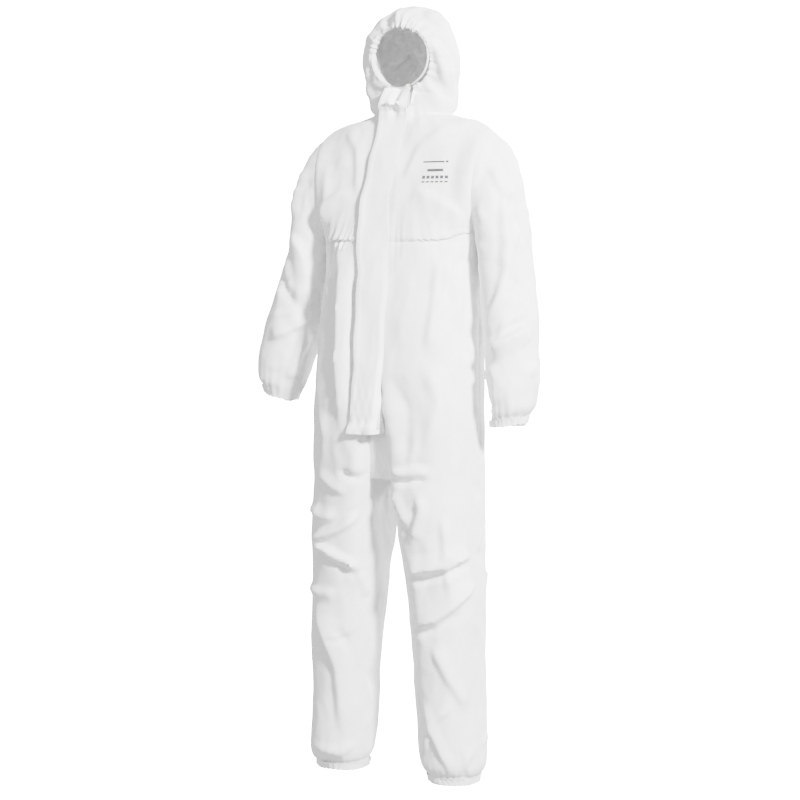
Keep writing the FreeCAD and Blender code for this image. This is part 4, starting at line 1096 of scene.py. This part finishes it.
def face_gathers(places):
    """Ruffles round the elastic face edge, strongest high on the wearer's left."""
    offset = places - np.array(FACE_CENTRE)
    turn = np.arctan2(offset[:, 2] / FACE_HALF[1], offset[:, 0] / FACE_HALF[0])
    beyond = np.hypot(offset[:, 0] / FACE_HALF[0], offset[:, 2] / FACE_HALF[1]) - RIM_SPREAD
    front = smooth_step(0.05, 0.0, places[:, 1])
    strength = 0.0018 + 0.0040 * np.exp(-((turn - 0.95) / 0.55) ** 2)
    strength = strength * smooth_step(-2.6, -1.9, turn) + strength * (turn < -2.6)
    pleats = np.cos(34.0 * turn + 2.5 * np.sin(5.0 * turn) + 1.5 * np.sin(11.0 * turn))
    seam = -0.0022 * np.exp(-((places[:, 1] - HOOD_SEAM_Y) / 0.0035) ** 2)
    neck = (places - np.array(HOOD_HINGE)) @ np.array(NECK_NORMAL)
    neck_seam = -0.0020 * np.exp(-(neck / 0.0035) ** 2) * (places[:, 1] < HOOD_SEAM_Y)
    return strength * pleats * np.exp(-np.clip(beyond, 0.0, 2.0) / 0.28) * front + seam + neck_seam


def cuff_gathers(points):
    """Pleats that run from the wrist elastic up the sleeve, and the seam at the armhole."""
    hem = points[-1, :-1].mean(axis=0)
    cap = points[0, :-1].mean(axis=0)
    axis = points[-20, :-1].mean(axis=0) - hem
    axis /= np.linalg.norm(axis)
    normal = np.array([math.copysign(ARMHOLE_NORMAL.x, cap[0]), 0, ARMHOLE_NORMAL.z])

    def extra(places):
        offset = places - hem
        up = offset @ axis
        side = offset - np.outer(up, axis)
        turn = np.arctan2(side[:, 1], side[:, 0])
        pleats = np.cos(22.0 * turn + 1.6 * np.sin(3.0 * turn)) * np.exp(-np.clip(up, 0, 1) / 0.036) \
            * (0.35 + 0.65 * smooth_step(0.0, 0.022, up))
        casing = -0.0020 * np.exp(-((up - 0.020) / 0.0030) ** 2)
        beyond = (places - cap) @ normal
        return 0.0030 * pleats + casing - 0.0012 * np.exp(-(beyond / 0.003) ** 2)
    return extra


random = np.random.default_rng(20)
body_cloth = Cloth()
build_bodice(body_cloth, build_trousers(body_cloth))
BODY_PANELS = body_cloth.panels
body = body_cloth.finish("body_cloth")
sleeves = {}
for side_name, mirror in (("left", 1.0), ("right", -1.0)):
    sleeves[side_name] = build_sleeve(side_name, mirror)
    meet_sleeve(body, mirror, sleeves[side_name][1][0])
head = build_head()
meet_hood(body, head)


def away_from_armholes(places):
    beyond = ((np.abs(places[:, 0]) - ARMPIT.x) * ARMHOLE_NORMAL.x
              + (places[:, 2] - ARMPIT.z) * ARMHOLE_NORMAL.z)
    near = smooth_step(-0.022, -0.002, beyond) * (places[:, 2] > 1.17)
    return 1.0 - np.minimum(near + smooth_step(NECK_Z - 0.02, NECK_Z - 0.002, places[:, 2]), 1.0)


def above_neck(places):
    return smooth_step(NECK_Z + 0.001, NECK_Z + 0.014, places[:, 2])


def from_ring(ring):
    middle = ring[:-1].mean(axis=0)
    normal = np.array([math.copysign(ARMHOLE_NORMAL.x, middle[0]), 0, ARMHOLE_NORMAL.z])
    return lambda places: smooth_step(0.001, 0.022, np.abs((places - middle) @ normal))


shape(body, BODY_FOLDS, random, away_from_armholes, 70, body_extra)
shape(head, HOOD_FOLDS, random, above_neck, 16, face_gathers, (1.0, 1.0, 1.0), (0, 1, 0.5))
for side_name, (sleeve, points) in sleeves.items():
    shape(sleeve, SLEEVE_FOLDS[side_name], random, from_ring(points[0]), 26, cuff_gathers(points),
          (1.0, 1.0, 0.7), (0.6, 0.3, 0.6))


# ---------------------------------------------------------------- separate pieces


def dress(piece, slot, *nodes):
    if nodes:
        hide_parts(*nodes)
    return piece


def seam_line(thing, choose, sort_by):
    """Places of the vertices that a rule picks, in order, as a line to sew along."""
    places = vertex_places(thing)
    chosen = places[choose(*places.T)]
    return chosen[np.argsort(sort_by(*chosen.T))]


def make_panel(whole, number, name, nodes, length, hangs_from, *seams):
    """Cut one panel out of a shaped part, with its ply and stitches, and hide the CAD nodes it replaces."""
    piece = take_panel(whole, number, name, CLOTH)
    thicken(piece, CLOTH_PLY)
    for seam in seams:
        add_stitches(piece, seam(piece))
    dress(piece, "cloth", *nodes)
    return piece


def waist_stitches(piece):
    facing = 1.0 if piece.name == "bodice_back" else -1.0
    return seam_line(piece, lambda x, y, z: np.abs(z - WAIST_Z - 0.007) < 0.0022,
                     lambda x, y, z: np.arctan2(x, facing * y))


def ankle_stitches(piece):
    facing = 1.0 if "back" in piece.name else -1.0
    return seam_line(piece, lambda x, y, z: np.abs(z - HEM_Z) < 0.0030,
                     lambda x, y, z: np.arctan2(np.abs(x) - 0.14, (y + 0.02) * facing))


BODICE_LENGTH, TROUSER_LENGTH, GUSSET_LENGTH, SLEEVE_LENGTH = 0.33, 1.21, 0.36, 0.66

BODICE_PARTS = {"left_bodice_front": "left_front_bodice", "right_bodice_front": "right_front_bodice",
                "bodice_back": "back_bodice"}
body_tree = mesh_tree(body)
for name, node in BODICE_PARTS.items():
    piece = make_panel(body, BODY_PANELS.index(name), name, (node,), BODICE_LENGTH,
                       ("hood_front_cloth",), waist_stitches)
    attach(piece, "torso")
for side_name, hip_x in (("left", HIP_AXIS.x), ("right", -HIP_AXIS.x)):
    for end, own_node, above in (("front", "front_trouser", f"{side_name}_bodice_front"),
                                 ("back", "seat", "bodice_back")):
        name = f"{side_name}_trouser_{end}"
        piece = make_panel(body, BODY_PANELS.index(name), name,
                           (f"{side_name}_{own_node}", f"{side_name}_leg_{end}"), TROUSER_LENGTH,
                           (above,), ankle_stitches)
        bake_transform(piece)
gusset = make_panel(body, BODY_PANELS.index("crotch_gusset"), "gusset_cloth", ("crotch_gusset",),
                    GUSSET_LENGTH, ("left_trouser_front", "right_trouser_front"))
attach(gusset, "torso")

for side_name, (sleeve, points) in sleeves.items():
    piece = make_panel(sleeve, 0, f"{side_name}_sleeve_cloth_panel", (f"{side_name}_sleeve",),
                       SLEEVE_LENGTH, (f"{side_name}_bodice_front",),
                       lambda piece: points[1], lambda piece: points[-4])
    middle = Vector(points[0, :-1].mean(axis=0))
    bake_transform(piece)

HOOD_FRONT, HOOD_BACK, LEFT_COLLAR, RIGHT_COLLAR = range(4)


def head_panel(place):
    if place.y > HOOD_SEAM_Y:
        return HOOD_BACK
    if (place - HOOD_HINGE).dot(NECK_NORMAL) > 0:
        return HOOD_FRONT
    return LEFT_COLLAR if place.x > 0 else RIGHT_COLLAR


def hood_stitches(piece):
    return seam_line(piece, lambda x, y, z: np.abs(y - HOOD_SEAM_Y + 0.004) < 0.003,
                     lambda x, y, z: np.arctan2(x, z - FACE_CENTRE.z))


for x in (-SLOT_X, SLOT_X):
    cross_plane(head, (x, 0, 0), (1, 0, 0))
remove_faces(head, lambda place: abs(place.x) < SLOT_X and place.y < 0.03 and place.z < CHIN_Z)
cross_plane(head, (0, 0, 0), (1, 0, 0))
name_panels(head, head_panel)
head_tree = mesh_tree(head)
for number, name, nodes, length, *seams in (
        (HOOD_FRONT, "hood_front_cloth", ("hood_front",), 0.30, hood_stitches),
        (HOOD_BACK, "hood_back_cloth", ("hood_back",), 0.34),
        (LEFT_COLLAR, "left_collar_cloth", ("left_chin_panel",), 0.14),
        (RIGHT_COLLAR, "right_collar_cloth", ("right_chin_panel",), 0.14)):
    piece = make_panel(head, number, name, nodes, length, ("bodice_back",), *seams)
    if number in (HOOD_FRONT, HOOD_BACK):
        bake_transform(piece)
    else:
        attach(piece, "torso")


# ---------------------------------------------------------------- the storm flap and what is under it

FLAP_Z = (0.785, 0.93, 1.14, 1.23, 1.31, 1.46, 1.556)
FLAP_FREE_X = (-0.054, -0.043, -0.046, -0.059, -0.058, -0.042, -0.034)
FLAP_SEWN_X = (0.013, 0.026, 0.031, 0.021, 0.014, 0.028, 0.033)
FLAP_STEP, FLAP_COLUMNS = 0.0045, 22
FLAP_FOLD_Z = 1.504               # where the flap bends over the collar
FLAP_STAND_OFF = 0.0016           # its least height over the cloth below
ZIP_MIDDLE = Vector(JOINTS["zip_slider_travel"]["pos_m"])
COIL_RADIUS, TAPE_RADIUS = 1.9974, 1.9963     # of the arcs that they follow round ZIP_MIDDLE


def front_of(tree, x, z):
    hit = tree.ray_cast(Vector((x, -REACH, z)), Vector((0, 1, 0)), REACH + 0.05)
    return hit[0].y if hit[0] is not None else np.nan


def build_flap():
    """The two-ply strip over the zip, with a rolled sewn edge and puckers at its lower end."""
    flap_tree = cad_tree("storm_flap")
    rows, columns = int((FLAP_Z[-1] - FLAP_Z[0]) / FLAP_STEP), FLAP_COLUMNS
    heights = np.linspace(FLAP_Z[0], FLAP_Z[-1], rows)
    share = np.linspace(0.0, 1.0, columns)
    sewn = np.interp(heights, FLAP_Z, FLAP_SEWN_X) + 0.0012 * np.sin(heights * 47.0)
    free = np.interp(heights, FLAP_Z, FLAP_FREE_X) + 0.0014 * np.sin(heights * 61.0 + 1.0)
    x = sewn[:, None] * (1.0 - share) + free[:, None] * share
    cad_y = np.array([front_of(flap_tree, -0.02, z) for z in heights])
    known = ~np.isnan(cad_y)
    slope = np.polyfit(heights[known][-8:], cad_y[known][-8:], 1)
    cad_y = np.where(known, cad_y, np.polyval(slope, heights))
    under = np.array([[min(front_of(body_tree, a, z), front_of(head_tree, a, z), key=lambda y: (
        math.inf if math.isnan(y) else y)) for a in row] for row, z in zip(x, heights)])
    under = np.where(np.isnan(under), cad_y[:, None] + 0.006, under)
    padded = np.pad(under, ((4, 4), (0, 0)), mode="edge")
    under = np.min([padded[k:k + rows] for k in range(9)], axis=0)
    free_y = np.minimum(cad_y[:, None] + 0.0008, under - FLAP_STAND_OFF)
    for _ in range(8):
        for grid in (free_y, under):
            padded = np.pad(grid, 1, mode="edge")
            grid[:] = (padded[:-2, 1:-1] + padded[2:, 1:-1] + padded[1:-1, :-2] + padded[1:-1, 2:]) / 4.0
    lift = smooth_step(0.0, 0.14, share)[None, :]
    end = smooth_step(0.0, 0.02, heights - FLAP_Z[0])[:, None]
    y = (under - 0.0012) * (1.0 - lift * (0.35 + 0.65 * end)) + free_y * lift * (0.35 + 0.65 * end)
    low = np.exp(-(heights - FLAP_Z[0]) / 0.045)[:, None]
    y -= 0.0030 * low * (0.6 + np.cos(x * 330.0 + 1.0) * np.sin(heights * 95.0)[:, None]) * lift
    fold_across = np.exp(-((heights - FLAP_FOLD_Z) / 0.006) ** 2)[:, None]
    above_fold = np.exp(-((heights - FLAP_FOLD_Z - 0.012) / 0.008) ** 2)[:, None]
    y += (0.0035 * fold_across - 0.002 * above_fold) * lift
    y -= 0.0016 * np.sin(heights * 23.0 + 0.6)[:, None] * np.sin(share * math.pi)[None, :] * lift
    y -= 0.0012 * np.exp(-((share - 0.9) / 0.05) ** 2)[None, :] * lift
    points = np.stack([x, y, np.repeat(heights[:, None], columns, axis=1)], axis=2)
    cloth = Cloth()
    cloth.patch("flap", points, flip=True)
    flap = cloth.finish("flap_cloth_strip")
    places, normals = vertex_places(flap), vertex_normals(flap)
    fine = 0.0016 * ridge_noise(places, 31, 0.05, (1.0, 1.0, 0.5)) + 0.0012 * soft_noise(places, 12, 0.06)
    set_places(flap, within_size(places + normals * fine[:, None]))
    return flap, points


flap, flap_points = build_flap()
# The flap takes the lighter copy of the cloth, which carries its painted light.
flap.data.materials.append(FLAP_CLOTH_PAINTED_LIGHT)
thicken(flap, -FLAP_PLY)
for column in (2, FLAP_COLUMNS - 3):
    add_stitches(flap, flap_points[:, column])
dress(flap, "flap_cloth", "storm_flap")
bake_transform(flap)


STRIP_POINTS = 14


def strip_in_box(name, node, material, thickness):
    """A thin flat strip along X that fills the box of its CAD node corner to corner."""
    low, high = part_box(node)
    slant = np.array([0.0, high.y - low.y, high.z - low.z])
    width = np.linalg.norm(slant)
    middle = 0.5 * np.array([0.0, high.y + low.y, high.z + low.z])
    x = np.linspace(low.x, high.x, STRIP_POINTS)
    line = middle + np.stack([x, 0 * x, 0 * x], axis=1)
    out = np.cross([1.0, 0.0, 0.0], slant / width)
    return ribbon(name, line, [slant / width] * STRIP_POINTS, [out] * STRIP_POINTS, width * 0.97,
                  thickness, material)


glue = dress(strip_in_box("chin_glue_line", "chin_adhesive", GLUE, 0.0003), "adhesive", "chin_adhesive")
liner = dress(strip_in_box("liner_strip", "release_liner", PAPER, 0.0002), "liner_paper",
              "release_liner")
label = dress(strip_in_box("neck_label_cloth", "neck_label", LABEL, 0.0006), "label", "neck_label")
top = flap_points[-1]
tab_x = top[2:6, 0]
tab_line = np.stack([np.linspace(tab_x.max(), tab_x.min(), 6), np.full(6, top[3, 1] + 0.0012),
                     np.full(6, FLAP_Z[-1] + 0.001)], axis=1)
tab = dress(ribbon("liner_tab", tab_line, [(0, 0.25, 0.97)] * 6, [(0, -0.97, 0.25)] * 6, 0.014, 0.0002,
                   PAPER, curl=0.0008), "liner_paper")
for piece in (glue, liner, tab):
    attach(piece, "storm_flap")
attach(label, "torso")


def zip_line(radius, low, high, step, x):
    z = np.arange(low, high, step)
    y = ZIP_MIDDLE.y - np.sqrt(radius ** 2 - (z - ZIP_MIDDLE.z) ** 2)
    line = np.stack([np.full(len(z), x), y, z], axis=1)
    out = line - np.array([x, ZIP_MIDDLE.y, ZIP_MIDDLE.z])
    return line, out / np.linalg.norm(out, axis=1)[:, None]


def build_coil(name, mirror, pitch=0.0022, radius=0.00125, wire=0.00038):
    """One side of the zip: a nylon wire wound along the tape's edge, turn by turn."""
    low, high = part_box("left_zip_coil")
    per_turn = 8
    line, out = zip_line(COIL_RADIUS, low.z, high.z, pitch / per_turn, mirror * 0.0016)
    turn = np.arange(len(line)) * (2.0 * math.pi / per_turn)
    wave = np.stack([np.cos(turn) * mirror, 0 * turn, 0 * turn], axis=1)
    path = line + radius * (wave + np.sin(turn)[:, None] * out)
    along = np.gradient(path, axis=0)
    along /= np.linalg.norm(along, axis=1)[:, None]
    first = np.cross(along, out)
    first /= np.linalg.norm(first, axis=1)[:, None]
    second = np.cross(along, first)
    points = [path + wire * (math.cos(a) * first + math.sin(a) * second)
              for a in np.linspace(0.0, 2.0 * math.pi, 6)[:-1]]
    verts = np.stack(points, axis=1).reshape(-1, 3)
    faces = [(5 * i + k, 5 * i + (k + 1) % 5, 5 * i + 5 + (k + 1) % 5, 5 * i + 5 + k)
             for i in range(len(path) - 1) for k in range(5)]
    faces += [tuple(range(4, -1, -1)), tuple(range(len(verts) - 5, len(verts)))]
    mesh = bpy.data.meshes.new(name)
    mesh.from_pydata(verts.tolist(), [], faces)
    mesh.update()
    mesh.shade_smooth()
    return add_object(name, mesh, COIL)


for side_name, mirror in (("left", 1.0), ("right", -1.0)):
    low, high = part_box(f"{side_name}_zip_tape")
    line, out = zip_line(TAPE_RADIUS, low.z + 0.001, high.z - 0.001, 0.004, 0.5 * (low.x + high.x))
    tape = ribbon(f"{side_name}_tape_cloth", line, [(1, 0, 0)] * len(line), out, high.x - low.x, 0.0005,
                  TAPE)
    dress(tape, "zip_tape", f"{side_name}_zip_tape")
    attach(tape, "torso")
    coil = dress(build_coil(f"{side_name}_coil_turns", mirror), "zip_coil", f"{side_name}_zip_coil")
    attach(coil, "torso")
for node in ("zip_slider", "zip_pull", "zip_top_stops", "zip_bottom_stop"):
    hard = frame["nodes"][node]
    hard.data.materials.clear()
    hard.data.materials.append(METAL)


# ---------------------------------------------------------------- elastics and the chest marks

WRIST_WIDTH, ANKLE_WIDTH, FACE_WIDTH, WAIST_WIDTH = 0.015, 0.010, 0.008, 0.012
ELASTIC_PLY, CRIMP = 0.0012, 0.0005
WAIST_TURN = 1.25                 # radians from the middle of the back to each end


def elastic_ring(name, node, body_name, middle, axis, radii, width, first=(0, 1, 0)):
    """Crimped elastic all round an opening."""
    axis = Vector(axis).normalized()
    first = (Vector(first) - axis * Vector(first).dot(axis)).normalized()
    second = axis.cross(first)
    turn = np.linspace(0.0, 2.0 * math.pi, 241)[:-1]
    out = np.outer(np.cos(turn), first) + np.outer(np.sin(turn), second)
    line = np.array(middle) + radii[0] * np.outer(np.cos(turn), first) \
        + radii[1] * np.outer(np.sin(turn), second)
    band = ribbon(name, line, [tuple(axis)] * len(line), out, width, ELASTIC_PLY, ELASTIC,
                  closed=True, ribs=CRIMP, pitch=0.0040)
    dress(band, "elastic", node)
    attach(band, body_name)
    return band


for side_name, (sleeve, points) in sleeves.items():
    ring = points[-3, :-1]
    middle = ring.mean(axis=0)
    reach = np.linalg.norm(ring - middle, axis=1).min() - 0.006
    axis = points[-12, :-1].mean(axis=0) - points[-1, :-1].mean(axis=0)
    elastic_ring(f"{side_name}_wrist_band", f"{side_name}_wrist_elastic", f"{side_name}_sleeve",
                 middle, axis, (reach, reach), WRIST_WIDTH)
    low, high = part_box(f"{side_name}_ankle_elastic")
    reach = 0.5 * (high.y - low.y) - 0.003
    elastic_ring(f"{side_name}_ankle_band", f"{side_name}_ankle_elastic", f"{side_name}_leg",
                 0.5 * (low + high), (0, 0, 1), (reach, reach), ANKLE_WIDTH)
low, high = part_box("face_elastic")
elastic_ring("face_band", "face_elastic", "hood", (0, 0.5 * (low.y + high.y) + 0.006, 0.5 * (low.z + high.z)),
             (0, 1, 0), (0.5 * (high.x - low.x) - CRIMP, 0.5 * (high.z - low.z) - CRIMP), FACE_WIDTH,
             (1, 0, 0))
low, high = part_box("waist_elastic")
turn = np.linspace(-WAIST_TURN, WAIST_TURN, 160)
waist_line, waist_out = [], []
for angle in turn:
    out = Vector((math.sin(angle), math.cos(angle), 0))
    start = Vector((0, -0.01, 0.5 * (low.z + high.z)))
    hit = body_tree.ray_cast(start + out * REACH, -out, REACH)
    waist_line.append(hit[0] - out * 0.0035)
    waist_out.append(out)
waist_band = ribbon("waist_band", waist_line, [(0, 0, 1)] * len(turn), waist_out, WAIST_WIDTH,
                    ELASTIC_PLY, ELASTIC, ribs=CRIMP, pitch=0.005)
dress(waist_band, "elastic", "waist_elastic")
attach(waist_band, "torso")

# Plain bars and squares stand for the print on the chest: left, right, low and high edge.
MARKS = [(0.084, 0.134, 1.3850, 1.3885), (0.137, 0.143, 1.3845, 1.3890), (0.096, 0.134, 1.3650, 1.3710)]
for low, high in ((1.3490, 1.3560), (1.3405, 1.3440)):
    MARKS += [(0.086 + 0.0105 * k, 0.0935 + 0.0105 * k, low, high) for k in range(6)]
MARK_LIFT, MARK_PLY = 0.0005, 0.0003


def build_marks():
    """The bars and squares of the print, as thin pieces that follow the cloth."""
    bodice_tree = mesh_tree(bpy.data.objects["left_bodice_front"])
    work = bmesh.new()
    for left, right, low, high in MARKS:
        columns = max(2, int((right - left) / 0.004) + 1)
        grid = []
        for z in np.linspace(low, high, 3):
            row = []
            for x in np.linspace(left, right, columns):
                hit = bodice_tree.ray_cast(Vector((x, -REACH, z)), Vector((0, 1, 0)), REACH)
                row.append(work.verts.new(hit[0] + Vector((0, -MARK_LIFT, 0))))
            grid.append(row)
        for i in range(2):
            for j in range(columns - 1):
                work.faces.new([grid[i][j], grid[i][j + 1], grid[i + 1][j + 1], grid[i + 1][j]])
    mesh = bpy.data.meshes.new("chest_marks")
    work.to_mesh(mesh)
    work.free()
    marks = add_object("chest_marks", mesh, INK)
    thicken(marks, MARK_PLY)
    return marks


marks = dress(build_marks(), "label")
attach(marks, "torso")
for whole in (body, head, sleeves["left"][0], sleeves["right"][0]):
    bpy.data.objects.remove(whole)


# ---------------------------------------------------------------- floor, light and camera

CAMERA_AZIMUTH, CAMERA_ELEVATION = math.radians(29.2), math.radians(3.4)
CAMERA_DISTANCE = 4.6
CAMERA_LENS = 91.5                # millimetres, on a sensor 36 mm wide
CAMERA_AIM = Vector((0.0, -0.02, 0.9))
CAMERA_SHIFT = (0.0025, -0.0256)
LIGHT_AIM = Vector((0, 0, 0.9))
WORLD_LIGHT = 1.25
WHITE = 30.0                      # brightness of what is seen behind and below the suit
KEY = ((3.3, -1.9, 2.9), 1100.0, 0.6)     # place, watts and width of the light
REAR = ((1.2, 4.2, 2.8), 650.0, 1.0)


def make_stage():
    """A white floor, and a world that is white to the camera and softer as a light."""
    bpy.ops.mesh.primitive_plane_add(size=30.0, location=(0, 0, cad_box[0].z - 0.0005))
    floor = bpy.context.object
    floor.name = "floor"
    material, tree, shader = new_material("floor_paint", (0.93, 0.93, 0.93), 0.9)
    grain = add_node(tree, "ShaderNodeTexNoise", Scale=30.0, Detail=4.0)
    tree.links.new(tinted(tree, grain.outputs[0], (0.92, 0.92, 0.92), (0.94, 0.94, 0.94)),
                   shader.inputs["Base Color"])
    shader.inputs["Emission Color"].default_value = (1.0, 1.0, 1.0, 1.0)
    shader.inputs["Emission Strength"].default_value = WHITE
    floor.data.materials.append(material)
    floor.visible_diffuse = False
    floor.visible_glossy = False
    world = bpy.data.worlds.new("studio")
    world.use_nodes = True
    background = world.node_tree.nodes["Background"]
    background.inputs["Color"].default_value = (1.0, 1.0, 1.0, 1.0)
    background.inputs["Strength"].default_value = WORLD_LIGHT
    bright = world.node_tree.nodes.new("ShaderNodeBackground")
    bright.inputs["Strength"].default_value = WHITE
    mix = world.node_tree.nodes.new("ShaderNodeMixShader")
    path = world.node_tree.nodes.new("ShaderNodeLightPath")
    output = world.node_tree.nodes["World Output"]
    world.node_tree.links.new(path.outputs["Is Camera Ray"], mix.inputs[0])
    world.node_tree.links.new(background.outputs[0], mix.inputs[1])
    world.node_tree.links.new(bright.outputs[0], mix.inputs[2])
    world.node_tree.links.new(mix.outputs[0], output.inputs["Surface"])
    bpy.context.scene.world = world


def add_light(name, place, energy, size):
    light = bpy.data.lights.new(name, "AREA")
    light.energy = energy
    light.shape = "DISK"
    light.size = size
    thing = bpy.data.objects.new(name, light)
    bpy.context.collection.objects.link(thing)
    thing.location = place
    thing.rotation_euler = (LIGHT_AIM - Vector(place)).to_track_quat("-Z", "Y").to_euler()


def make_camera():
    back = Vector((math.sin(CAMERA_AZIMUTH) * math.cos(CAMERA_ELEVATION),
                   -math.cos(CAMERA_AZIMUTH) * math.cos(CAMERA_ELEVATION),
                   math.sin(CAMERA_ELEVATION)))
    camera = bpy.data.cameras.new("camera")
    camera.sensor_width = 36.0
    camera.lens = CAMERA_LENS
    camera.shift_x, camera.shift_y = CAMERA_SHIFT
    camera.clip_end = 50.0
    thing = bpy.data.objects.new("camera", camera)
    bpy.context.collection.objects.link(thing)
    thing.location = CAMERA_AIM + back * CAMERA_DISTANCE
    thing.rotation_euler = (-back).to_track_quat("-Z", "Y").to_euler()
    bpy.context.scene.camera = thing


make_stage()
add_light("key", *KEY)
add_light("rear", *REAR)
make_camera()
